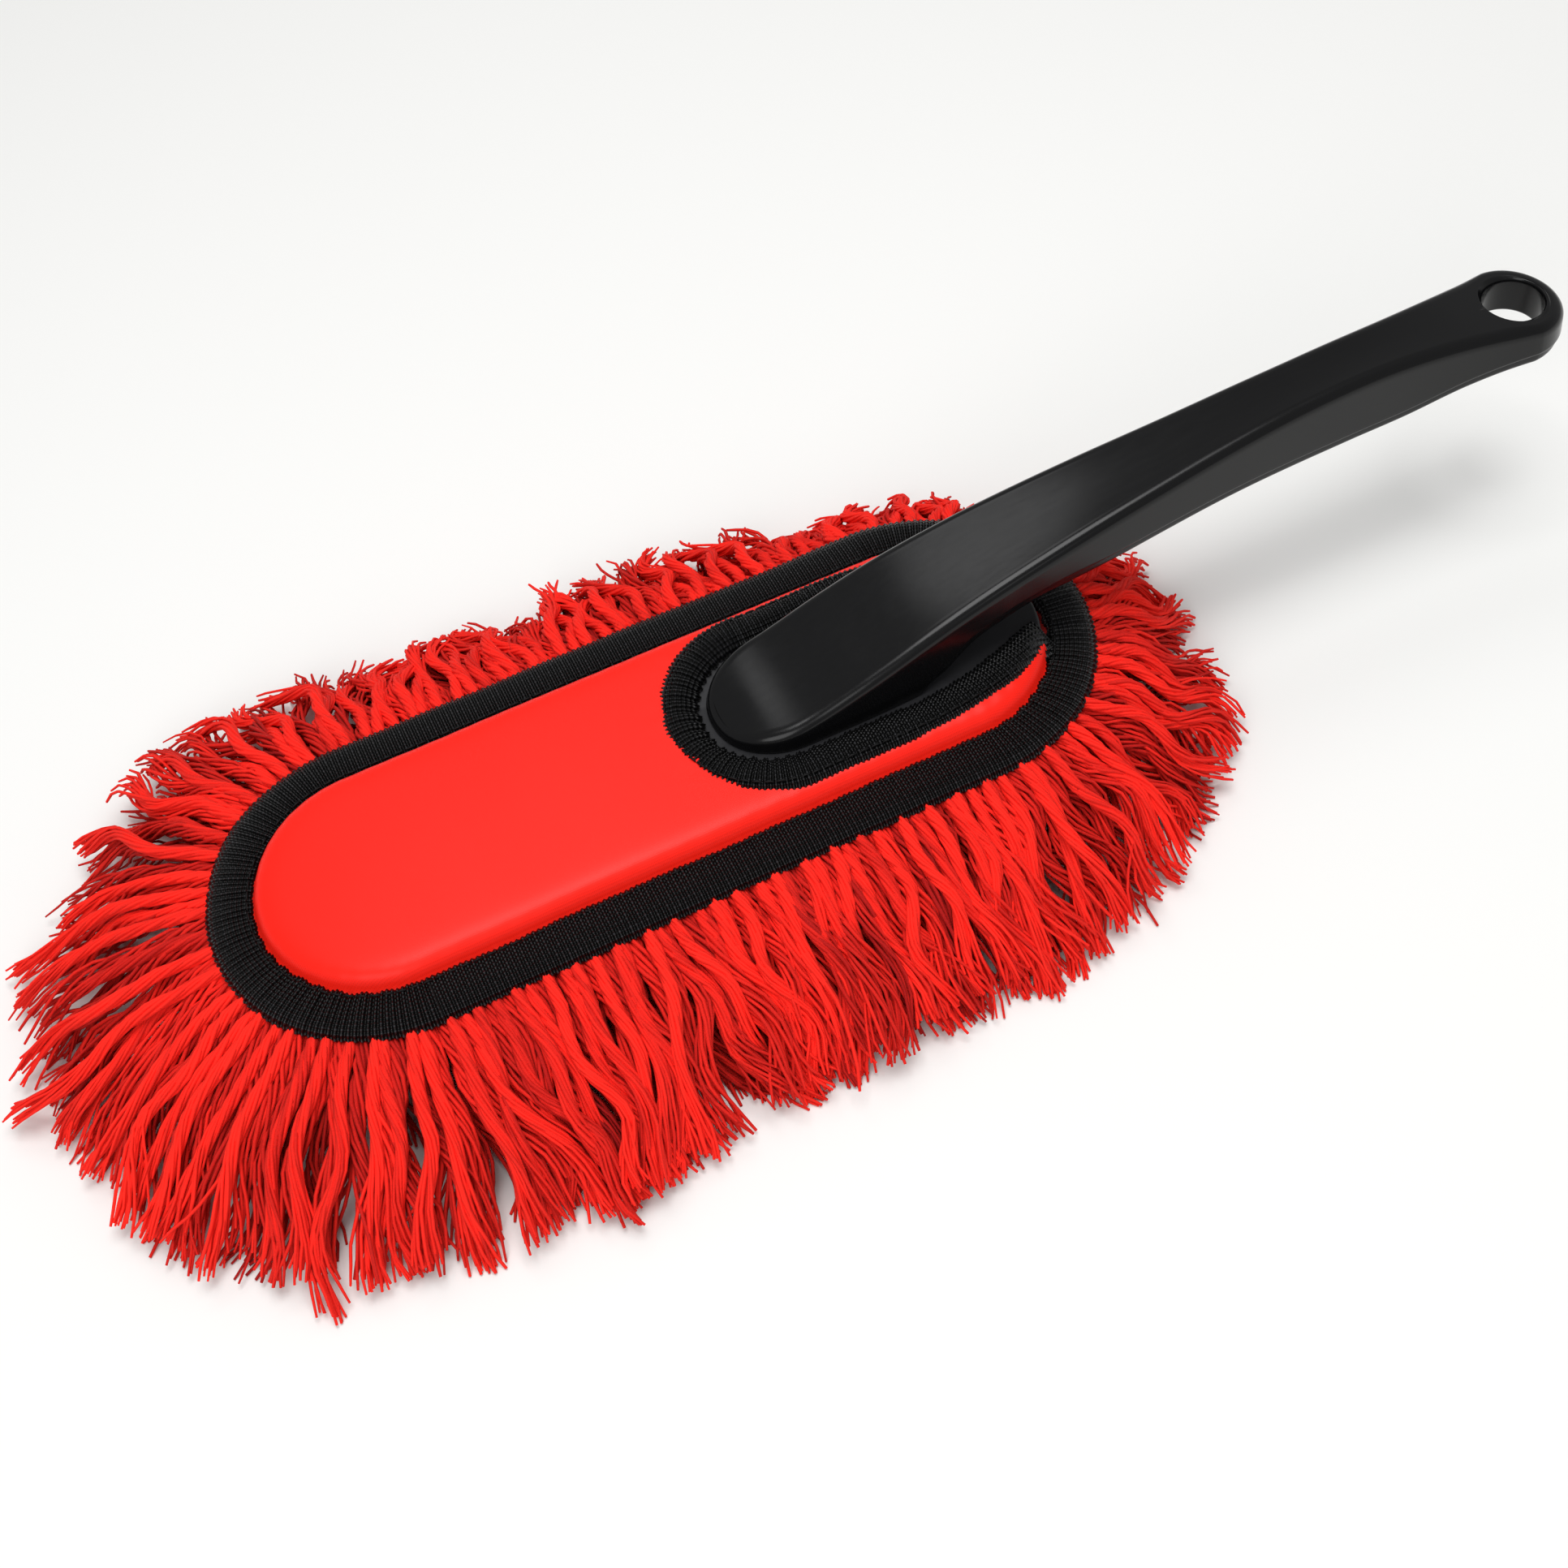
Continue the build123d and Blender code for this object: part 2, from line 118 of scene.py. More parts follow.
def ramp(tree: bpy.types.NodeTree, factor: bpy.types.NodeSocket,
         stops: list[tuple[float, str]]) -> bpy.types.NodeSocket:
    """Colour ramp from sRGB hex stops.

    Args:
        tree: Node tree that takes the ramp.
        factor: Socket that drives it.
        stops: Position and hex colour of each stop, in order.

    Returns:
        The ramp's colour output.
    """
    node = add_node(tree, "ShaderNodeValToRGB", inputs={"Fac": factor})
    elements = node.color_ramp.elements
    while len(elements) < len(stops):
        elements.new(1.0)
    for element, (position, colour) in zip(elements, stops):
        element.position = position
        element.color = linear(colour)
    return node.outputs["Color"]


@dataclass(frozen=True)
class Finish:
    """What every finish has: a name and the shader's plain values."""

    name: str
    colour: str
    roughness: float = 0.5
    ior: float = 1.5
    metallic: float = 0.0
    sheen: float = 0.0
    sheen_colour: str = "#FFFFFF"
    sheen_roughness: float = 0.4
    level: float = 0.5           # share of the gloss left by the fibres' shadowing

    def start(self) -> tuple[bpy.types.Material, bpy.types.NodeTree, bpy.types.Node]:
        """Make the material with its Principled shader.

        Returns:
            The material, its node tree and its Principled node.
        """
        material = bpy.data.materials.new(self.name)
        material.use_nodes = True
        tree = material.node_tree
        tree.nodes.clear()
        shader = add_node(tree, "ShaderNodeBsdfPrincipled", inputs={
            "Base Color": linear(self.colour), "Roughness": self.roughness, "IOR": self.ior,
            "Metallic": self.metallic, "Sheen Weight": self.sheen,
            "Sheen Roughness": self.sheen_roughness, "Sheen Tint": linear(self.sheen_colour),
            "Specular IOR Level": self.level})
        add_node(tree, "ShaderNodeOutputMaterial", inputs={"Surface": shader.outputs["BSDF"]})
        material.diffuse_color = linear(self.colour)
        return material, tree, shader

    def make(self) -> bpy.types.Material:
        """Build the finish; the plain one has no pattern."""
        return self.start()[0]


@dataclass(frozen=True)
class MouldedPolypropylene(Finish):
    """Injection-moulded polypropylene: a deep, slightly uneven gloss with hairline handling marks."""

    ripple_mm: float = 14.0      # slow waviness left by cooling
    grain_mm: float = 0.5        # fine mould grain
    ripple_height_mm: float = 0.05
    grain_height_mm: float = 0.004
    wear: float = 0.08           # how much the roughness varies with handling
    marks: tuple[float, float, float] = (60.0, 900.0, 900.0)   # hairlines per metre; long in x

    def make(self) -> bpy.types.Material:
        """Build the plastic with its ripple, grain and handling marks.

        Returns:
            The new material.
        """
        material, tree, shader = self.start()
        place = add_node(tree, "ShaderNodeTexCoord").outputs["Object"]
        slow = add_node(tree, "ShaderNodeTexNoise", inputs={
            "Vector": place, "Scale": 1 / (self.ripple_mm * MM), "Detail": 2.0})
        fine = add_node(tree, "ShaderNodeTexNoise", inputs={
            "Vector": place, "Scale": 1 / (self.grain_mm * MM), "Detail": 3.0})
        stretched = add_node(tree, "ShaderNodeMapping", inputs={
            "Vector": place, "Scale": self.marks})
        marks = add_node(tree, "ShaderNodeTexNoise", inputs={
            "Vector": stretched.outputs["Vector"], "Scale": 1.0, "Detail": 4.0})
        rough = add_node(tree, "ShaderNodeMapRange", inputs={
            "Value": marks.outputs["Fac"], "From Min": 0.35, "From Max": 0.75,
            "To Min": self.roughness, "To Max": self.roughness + self.wear})
        tree.links.new(rough.outputs["Result"], shader.inputs["Roughness"])
        low = add_node(tree, "ShaderNodeBump", inputs={
            "Height": slow.outputs["Fac"], "Distance": self.ripple_height_mm * MM,
            "Strength": 1.0})
        high = add_node(tree, "ShaderNodeBump", inputs={
            "Height": fine.outputs["Fac"], "Distance": self.grain_height_mm * MM,
            "Strength": 1.0, "Normal": low.outputs["Normal"]})
        tree.links.new(high.outputs["Normal"], shader.inputs["Normal"])
        return material


@dataclass(frozen=True)
class WovenCloth(Finish):
    """Plain or satin weave seen through its UV map, which is in metres along the cloth."""

    thread_mm: float = 0.5       # coarser than the real weave, so that it shows
    height_mm: float = 0.03
    shade: str = "#000000"       # colour down between the threads
    slub_mm: float = 30.0        # slow change of shade across the cloth

    def make(self) -> bpy.types.Material:
        """Build the cloth: two crossed sets of threads and a slow change of shade.

        Returns:
            The new material.
        """
        material, tree, shader = self.start()
        place = add_node(tree, "ShaderNodeTexCoord").outputs["UV"]
        period = math.tau / (self.thread_mm * MM) / 20
        waves = [add_node(tree, "ShaderNodeTexWave", {"bands_direction": direction}, {
            "Vector": place, "Scale": period, "Distortion": 0.6, "Detail": 1.0,
            "Detail Scale": 0.5}).outputs["Fac"] for direction in ("X", "Y")]
        weave = add_node(tree, "ShaderNodeMath", {"operation": "MAXIMUM"},
                         {0: waves[0], 1: waves[1]}).outputs["Value"]
        slub = add_node(tree, "ShaderNodeTexNoise", inputs={
            "Vector": place, "Scale": 1 / (self.slub_mm * MM), "Detail": 3.0}).outputs["Fac"]
        blend = add_node(tree, "ShaderNodeMath", {"operation": "MULTIPLY_ADD"},
                         {0: weave, 1: 0.6, 2: 0.2}).outputs["Value"]
        mixed = add_node(tree, "ShaderNodeMath", {"operation": "MULTIPLY_ADD"},
                         {0: slub, 1: 0.35, 2: blend}).outputs["Value"]
        tree.links.new(ramp(tree, mixed, [(0.15, self.shade), (0.8, self.colour)]),
                       shader.inputs["Base Color"])
        bump = add_node(tree, "ShaderNodeBump", inputs={
            "Height": weave, "Distance": self.height_mm * MM, "Strength": 1.0})
        tree.links.new(bump.outputs["Normal"], shader.inputs["Normal"])
        return material


@dataclass(frozen=True)
class RibbedTape(Finish):
    """Grosgrain: its ribs are in the mesh, and fine warp threads run along it over the ribs."""

    warp_mm: float = 1.2         # coarser than the real threads, so that they show
    rib_mm: float = RIB_MM
    height_mm: float = 0.26
    lint_mm: float = 1.43        # slow change of shade from lint
    shade: str = "#000000"

    def make(self) -> bpy.types.Material:
        """Build the tape: warp threads along it, broken up by the ribs across it, with painted
        highlights on the beads and painted shade in the gaps.

        Returns:
            The new material.
        """
        material, tree, shader = self.start()
        place = add_node(tree, "ShaderNodeTexCoord").outputs["UV"]
        split = add_node(tree, "ShaderNodeSeparateXYZ", inputs={"Vector": place})
        along = add_node(tree, "ShaderNodeMath", {"operation": "MULTIPLY"},
                         {0: split.outputs["X"], 1: math.tau / (self.rib_mm * MM)})
        across = add_node(tree, "ShaderNodeMath", {"operation": "MULTIPLY"},
                          {0: split.outputs["Y"], 1: math.tau / (self.warp_mm * MM)})
        rib = add_node(tree, "ShaderNodeMath", {"operation": "COSINE"}, {0: along.outputs[0]})
        warp = add_node(tree, "ShaderNodeMath", {"operation": "COSINE"}, {0: across.outputs[0]})
        both = add_node(tree, "ShaderNodeMath", {"operation": "MULTIPLY_ADD"},
                        {0: warp.outputs[0], 1: 0.8, 2: rib.outputs[0]})
        lint = add_node(tree, "ShaderNodeTexNoise", inputs={
            "Vector": place, "Scale": 1 / (self.lint_mm * MM), "Detail": 4.0})
        level = add_node(tree, "ShaderNodeMapRange", inputs={
            "Value": both.outputs[0], "From Min": -1.3, "From Max": 1.6})
        shade = add_node(tree, "ShaderNodeMath", {"operation": "MULTIPLY"},
                         {0: level.outputs["Result"], 1: lint.outputs["Fac"]})
        # The bead pattern sets the colour: painted highlights on the beads, painted shade in the
        # gaps.
        tree.links.new(ramp(tree, shade.outputs[0], [(0.28, self.shade), (0.62, self.colour)]),
                       shader.inputs["Base Color"])
        bump = add_node(tree, "ShaderNodeBump", inputs={
            "Height": both.outputs[0], "Distance": self.height_mm * MM, "Strength": 1.0})
        tree.links.new(bump.outputs["Normal"], shader.inputs["Normal"])
        return material


@dataclass(frozen=True)
class CottonYarn(Finish):
    """Soft spun cotton, dyed unevenly: matt and fuzzy, and darker down between the strands with
    painted shade.
    """

    # Low end of the colour ramp: uneven dye, and painted shade on the lower rows.
    deep_dye_and_shade: str = "#7A0A12"
    fibre_mm: float = 0.35

    def make(self) -> bpy.types.Material:
        """Build the yarn from the random tint and painted shade that each thread carries, with fine
        fibre noise.

        Returns:
            The new material.
        """
        material, tree, shader = self.start()
        tone_and_shade = add_node(tree, "ShaderNodeAttribute", {"attribute_name": "yarn"})
        parts = add_node(tree, "ShaderNodeSeparateColor", inputs={"Color": tone_and_shade.outputs["Color"]})
        place = add_node(tree, "ShaderNodeTexCoord").outputs["Object"]
        fibre = add_node(tree, "ShaderNodeTexNoise", inputs={
            "Vector": place, "Scale": 1 / (self.fibre_mm * MM), "Detail": 3.0})
        base = add_node(tree, "ShaderNodeMath", {"operation": "MULTIPLY_ADD"},
                        {0: fibre.outputs["Fac"], 1: 0.35, 2: parts.outputs["Red"]})
        # Low values run to the dark red: painted shade on the lower rows, uneven dye elsewhere.
        tree.links.new(ramp(tree, base.outputs[0], [(0.05, self.deep_dye_and_shade), (0.75, self.colour)]),
                       shader.inputs["Base Color"])
        bump = add_node(tree, "ShaderNodeBump", inputs={
            "Height": fibre.outputs["Fac"], "Distance": 0.12 * MM, "Strength": 0.6})
        tree.links.new(bump.outputs["Normal"], shader.inputs["Normal"])
        return material


@dataclass(frozen=True)
class Foam(Finish):
    """Open-cell polyurethane foam, pale and porous."""

    cell_mm: float = 0.8

    def make(self) -> bpy.types.Material:
        """Build the foam with its cells, darker at their pits with painted shade.

        Returns:
            The new material.
        """
        material, tree, shader = self.start()
        place = add_node(tree, "ShaderNodeTexCoord").outputs["Object"]
        cells = add_node(tree, "ShaderNodeTexVoronoi", inputs={
            "Vector": place, "Scale": 1 / (self.cell_mm * MM)})
        # Darker grey down in each pit: painted shade.
        tree.links.new(ramp(tree, cells.outputs["Distance"],
                            [(0.0, "#8E8A80"), (0.5, self.colour)]), shader.inputs["Base Color"])
        bump = add_node(tree, "ShaderNodeBump", inputs={
            "Height": cells.outputs["Distance"], "Distance": 0.2 * MM, "Strength": 0.8})
        tree.links.new(bump.outputs["Normal"], shader.inputs["Normal"])
        return material


@dataclass(frozen=True)
class PlatedSteel(Finish):
    """Bright zinc plating on a small pressed screw, with fine tumbling marks."""

    spot_mm: float = 0.67

    def make(self) -> bpy.types.Material:
        """Build the plating with its slight unevenness.

        Returns:
            The new material.
        """
        material, tree, shader = self.start()
        place = add_node(tree, "ShaderNodeTexCoord").outputs["Object"]
        spots = add_node(tree, "ShaderNodeTexNoise", inputs={
            "Vector": place, "Scale": 1 / (self.spot_mm * MM), "Detail": 4.0})
        rough = add_node(tree, "ShaderNodeMapRange", inputs={
            "Value": spots.outputs["Fac"], "To Min": self.roughness - 0.08,
            "To Max": self.roughness + 0.12})
        tree.links.new(rough.outputs["Result"], shader.inputs["Roughness"])
        return material


# Polished mould: dark and glossy, with a soft, slightly wavy reflection along each edge.
GLOSS_BLACK = MouldedPolypropylene("black_moulded_polypropylene", "#0C0C0D", 0.18, 1.49,
                                   level=0.27, ripple_height_mm=0.03, grain_height_mm=0.0015,
                                   wear=0.05)
# Unpolished mould: the same plastic, dull grey where it is left unseen.
MATT_BLACK = MouldedPolypropylene("matt_black_polypropylene", "#1C1C1F", 0.5, 1.49,
                                  grain_height_mm=0.012)
# Bright zinc over pressed steel: pale, with blurred reflections.
ZINC = PlatedSteel("zinc_plated_steel", "#B9BBBE", 0.35, metallic=1.0)
# Tightly woven polyester satin: smooth and bright, with a faint broad shine and almost no weave.
SATIN_RED = WovenCloth("red_satin_polyester", "#FF2214", 0.38, 1.5, level=0.2,
                       thread_mm=0.45, height_mm=0.012, shade="#E0170D")
# Plain-woven cotton: coarse, matt and darker, its weave drawn coarser so that it shows.
CANVAS_RED = WovenCloth("red_cotton_canvas", "#B81A14", 0.85, 1.5, sheen=0.2,
                        thread_mm=0.9, height_mm=0.08, shade="#5E0A0A")
# Polyester grosgrain: rows of small beads with painted highlights and painted shade in the gaps,
# where warp threads cross the ribs.
TAPE_BLACK = RibbedTape("black_grosgrain_tape", "#29292C", 0.38, 1.5, level=0.45,
                        shade="#010101")
# Spun sewing threads: too thin to show a pattern, dull and a little darker than what they hold.
THREAD_BLACK = Finish("black_polyester_thread", "#060607", 0.6, 1.5, level=0.2)
THREAD_RED = Finish("red_polyester_thread", "#8E1210", 0.5, 1.5, sheen=0.3)
# Dyed cotton mop yarn: matt and soft, bright on top of the strands and dark red between them, where
# the dark is painted shade.
COTTON_RED = CottonYarn("red_cotton_yarn", "#FF2A1E", 0.85, 1.5, sheen=0.12, level=0.2,
                        sheen_colour="#FF5A48", deep_dye_and_shade="#7C060C")
# Open-cell polyurethane foam: pale, dull and pitted, with painted shade in its pits.
FOAM_PALE = Foam("pale_polyurethane_foam", "#D9D4C6", 0.9, 1.5)


# --------------------------------------------------------------------------- mesh helpers


def finish_piece(piece: bpy.types.Object, body: Body, material: bpy.types.Material,
                 nodes: tuple[str, ...] = ()) -> bpy.types.Object:
    """Dress a piece, put it on its body and hide the CAD nodes that it stands for.

    Args:
        piece: The new object, with its place in its mesh.
        body: CAD body that it rides on.
        material: Finish to wear.
        nodes: CAD nodes that it stands for.

    Returns:
        The same piece.
    """
    piece.data.materials.clear()
    piece.data.materials.append(material)
    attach(piece, body.value)
    if nodes:
        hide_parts(*nodes)
    LOG.info("%s: %d faces on %s", piece.name, len(piece.data.polygons), body.value)
    return piece


def object_from(bm: bmesh.types.BMesh, name: str, smooth: bool = True) -> bpy.types.Object:
    """Turn a bmesh into a linked object.

    Args:
        bm: The mesh, which is freed.
        name: Name of the piece.
        smooth: Whether its faces are shaded smooth.

    Returns:
        The new object, at the origin.
    """
    mesh = bpy.data.meshes.new(name)
    bm.to_mesh(mesh)
    bm.free()
    mesh.polygons.foreach_set("use_smooth", [smooth] * len(mesh.polygons))
    piece = bpy.data.objects.new(name, mesh)
    bpy.context.collection.objects.link(piece)
    return piece


def read_points(mesh: bpy.types.Mesh) -> np.ndarray:
    """Read a mesh's vertex positions.

    Args:
        mesh: The mesh.

    Returns:
        Rows of x, y, z.
    """
    points = np.empty(len(mesh.vertices) * 3, np.float64)
    mesh.vertices.foreach_get("co", points)
    return points.reshape(-1, 3)


def write_points(mesh: bpy.types.Mesh, points: np.ndarray) -> None:
    """Move a mesh's vertices to an array of rows."""
    mesh.vertices.foreach_set("co", points.ravel())
    mesh.update()


def write_uv(mesh: bpy.types.Mesh, uv: np.ndarray) -> None:
    """Give a mesh one UV map from a value for each vertex.

    Args:
        mesh: The mesh.
        uv: Two values for each vertex, in metres along the surface.
    """
    corners = np.empty(len(mesh.loops), np.int32)
    mesh.loops.foreach_get("vertex_index", corners)
    layer = mesh.uv_layers.new(name="along_surface")
    layer.data.foreach_set("uv", uv[corners].ravel())


def smooth_line(at: np.ndarray, stations: tuple[tuple[float, float], ...]) -> np.ndarray:
    """Follow a smooth curve through stations.

    Args:
        at: Where to read the curve; held at its ends beyond them.
        stations: Pairs of place and value, in order.

    Returns:
        The curve's value at each place.
    """
    x, y = np.array(stations, float).T
    slope = np.gradient(y, x)
    k = np.clip(np.searchsorted(x, at) - 1, 0, len(x) - 2)
    step = x[k + 1] - x[k]
    u = np.clip((at - x[k]) / step, 0, 1)
    return ((1 + 2 * u) * (1 - u) ** 2 * y[k] + u * (1 - u) ** 2 * step * slope[k]
            + u * u * (3 - 2 * u) * y[k + 1] - u * u * (1 - u) * step * slope[k + 1])


def tubes(name: str, lines: np.ndarray, radii: np.ndarray, sides: int = 4) -> bpy.types.Object:
    """Draw threads as tubes.

    Args:
        name: Name of the piece.
        lines: Positions by thread and point.
        radii: Radius by thread and point.
        sides: Sides of each tube, 4 or more and even.

    Returns:
        The threads as one linked mesh, whose points come thread by thread.
    """
    curve = bpy.data.curves.new(name, "CURVE")
    curve.dimensions, curve.bevel_depth, curve.bevel_resolution = "3D", 1.0, (sides - 4) // 2
    for line, radius in zip(lines, radii):
        spline = curve.splines.new("POLY")
        spline.points.add(len(line) - 1)
        spline.points.foreach_set("co", np.column_stack([line, np.ones(len(line))]).ravel())
        spline.points.foreach_set("radius", radius)
    drawn = bpy.data.objects.new(name + "_lines", curve)
    mesh = bpy.data.meshes.new_from_object(drawn)
    mesh.name = name
    bpy.data.objects.remove(drawn)
    bpy.data.curves.remove(curve)
    mesh.polygons.foreach_set("use_smooth", [True] * len(mesh.polygons))
    piece = bpy.data.objects.new(name, mesh)
    bpy.context.collection.objects.link(piece)
    return piece


def grow_rings(bm: bmesh.types.BMesh, rings: list[np.ndarray]) -> list[bmesh.types.BMEdge]:
    """Extrude a closed loop of edges from ring to ring.

    Args:
        bm: The mesh to build in.
        rings: Positions of the loop's points, ring by ring.

    Returns:
        The last ring's edges.
    """
    station = bm.verts.layers.int.get("station") or bm.verts.layers.int.new("station")
    loop = [bm.verts.new(place) for place in rings[0]]
    for k, vert in enumerate(loop):
        vert[station] = k
    edges = [bm.edges.new(pair) for pair in zip(loop, loop[1:] + loop[:1])]
    for ring in rings[1:]:
        grown = bmesh.ops.extrude_edge_only(bm, edges=edges)["geom"]
        edges = [g for g in grown if isinstance(g, bmesh.types.BMEdge)]
        for vert in (g for g in grown if isinstance(g, bmesh.types.BMVert)):
            vert.co = ring[vert[station]]
    return edges


def ripple(values: np.ndarray, seed: int, terms: int = 5) -> np.ndarray:
    """Smooth, repeatable irregular wave.

    Args:
        values: Where to read it, in radians of its slowest term.
        seed: Which wave it is.
        terms: How many sine terms it has.

    Returns:
        The wave, roughly from -1 to 1.
    """
    rng = np.random.default_rng(seed)
    total = np.zeros_like(values)
    for k in range(1, terms + 1):
        total += np.sin(values * k * rng.uniform(0.8, 1.2) + rng.uniform(0, math.tau)) / k ** 0.5
    return total / terms ** 0.5


# --------------------------------------------------------------------------- head geometry


@dataclass(frozen=True)
class HeadShape:
    """The head's outline: two straight sides and two half circles, all in metres."""

    centre_x: float
    plane_z: float
    half_straight: float
    radius: float

    @classmethod
    def from_frame(cls) -> "HeadShape":
        """Read the outline from the CAD edge binding.

        Returns:
            The outline, in the shared frame.
        """
        low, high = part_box("edge_binding")
        radius = (high[1] - low[1]) / 2
        tape_top = 1.3 * MM      # height of the CAD tape above the binding's plane
        return cls((low[0] + high[0]) / 2, high[2] - tape_top, (high[0] - low[0]) / 2 - radius,
                   radius)

    def length(self, radius: float) -> float:
        """Length of the outline at a radius."""
        return 4 * self.half_straight + math.tau * radius

    def walk(self, distance: np.ndarray, radius: float) -> tuple[np.ndarray, np.ndarray]:
        """Follow the outline from the near left corner, anticlockwise from above.

        Args:
            distance: Distances along the outline at that radius.
            radius: Distance of the outline from the head's middle segment.

        Returns:
            The x of the nearest point of the middle segment, and the direction outwards.
        """
        a, turn = self.half_straight, math.pi * radius
        d = np.mod(distance, self.length(radius))
        near, right, far = 2 * a, 2 * a + turn, 4 * a + turn
        x = np.select([d < near, d < right, d < far], [d - a, a, a - (d - right)], -a)
        angle = np.select([d < near, d < right, d < far],
                          [-math.pi / 2, (d - near) / radius - math.pi / 2, math.pi / 2],
                          (d - far) / radius + math.pi / 2)
        return x, angle

    def measure(self, points: np.ndarray, radius: float) -> tuple[np.ndarray, np.ndarray]:
        """Where points lie along and across the outline; the inverse of walk.

        Args:
            points: Rows of x, y, z.
            radius: The radius at which the distance along is counted.

        Returns:
            Distance along the outline, and distance from the middle segment.
        """
        a, turn = self.half_straight, math.pi * radius
        x, y = points[:, 0] - self.centre_x, points[:, 1]
        across = np.hypot(x - np.clip(x, -a, a), y)
        angle = np.arctan2(y, np.abs(x) - a)
        along = np.where(
            x > a, 2 * a + (angle + math.pi / 2) * radius,
            np.where(x < -a, 4 * a + turn + (math.pi / 2 - angle) * radius,
                     np.where(y < 0, x + a, 2 * a + turn + a - x)))
        return along, across

    def carry(self, profile: list[tuple[float, float]], pitch: float,
              closed: bool) -> bmesh.types.BMesh:
        """Sweep a section round the head with extrusions and half spins.

        Args:
            profile: Radius and height above the head's plane, in metres.
            pitch: Distance between columns along the outline.
            closed: Whether the section is a closed loop.

        Returns:
            The swept mesh, closed on itself.
        """
        a, x0 = self.half_straight, self.centre_x
        reference = max(r for r, _ in profile)
        bm = bmesh.new()
        verts = [bm.verts.new((x0 - a, -r, self.plane_z + z)) for r, z in profile]
        pairs = list(zip(verts, verts[1:] + verts[:1])) if closed else list(zip(verts, verts[1:]))
        edges = [bm.edges.new(pair) for pair in pairs]
        straight_steps = max(2, round(2 * a / pitch))
        turn_steps = max(8, round(math.pi * reference / pitch))
        for side in (1, -1):
            for _ in range(straight_steps):
                grown = bmesh.ops.extrude_edge_only(bm, edges=edges)["geom"]
                moved = [g for g in grown if isinstance(g, bmesh.types.BMVert)]
                bmesh.ops.translate(bm, verts=moved, vec=(side * 2 * a / straight_steps, 0, 0))
                edges = [g for g in grown if isinstance(g, bmesh.types.BMEdge)]
            spun = bmesh.ops.spin(bm, geom=edges + list({v for e in edges for v in e.verts}),
                                  cent=(x0 + side * a, 0, 0), axis=(0, 0, 1), angle=math.pi,
                                  steps=turn_steps, dvec=(0, 0, 0), use_duplicate=False)
            edges = [g for g in spun["geom_last"] if isinstance(g, bmesh.types.BMEdge)]
        bmesh.ops.remove_doubles(bm, verts=bm.verts, dist=DOUBLES)
        bmesh.ops.recalc_face_normals(bm, faces=bm.faces)
        return bm


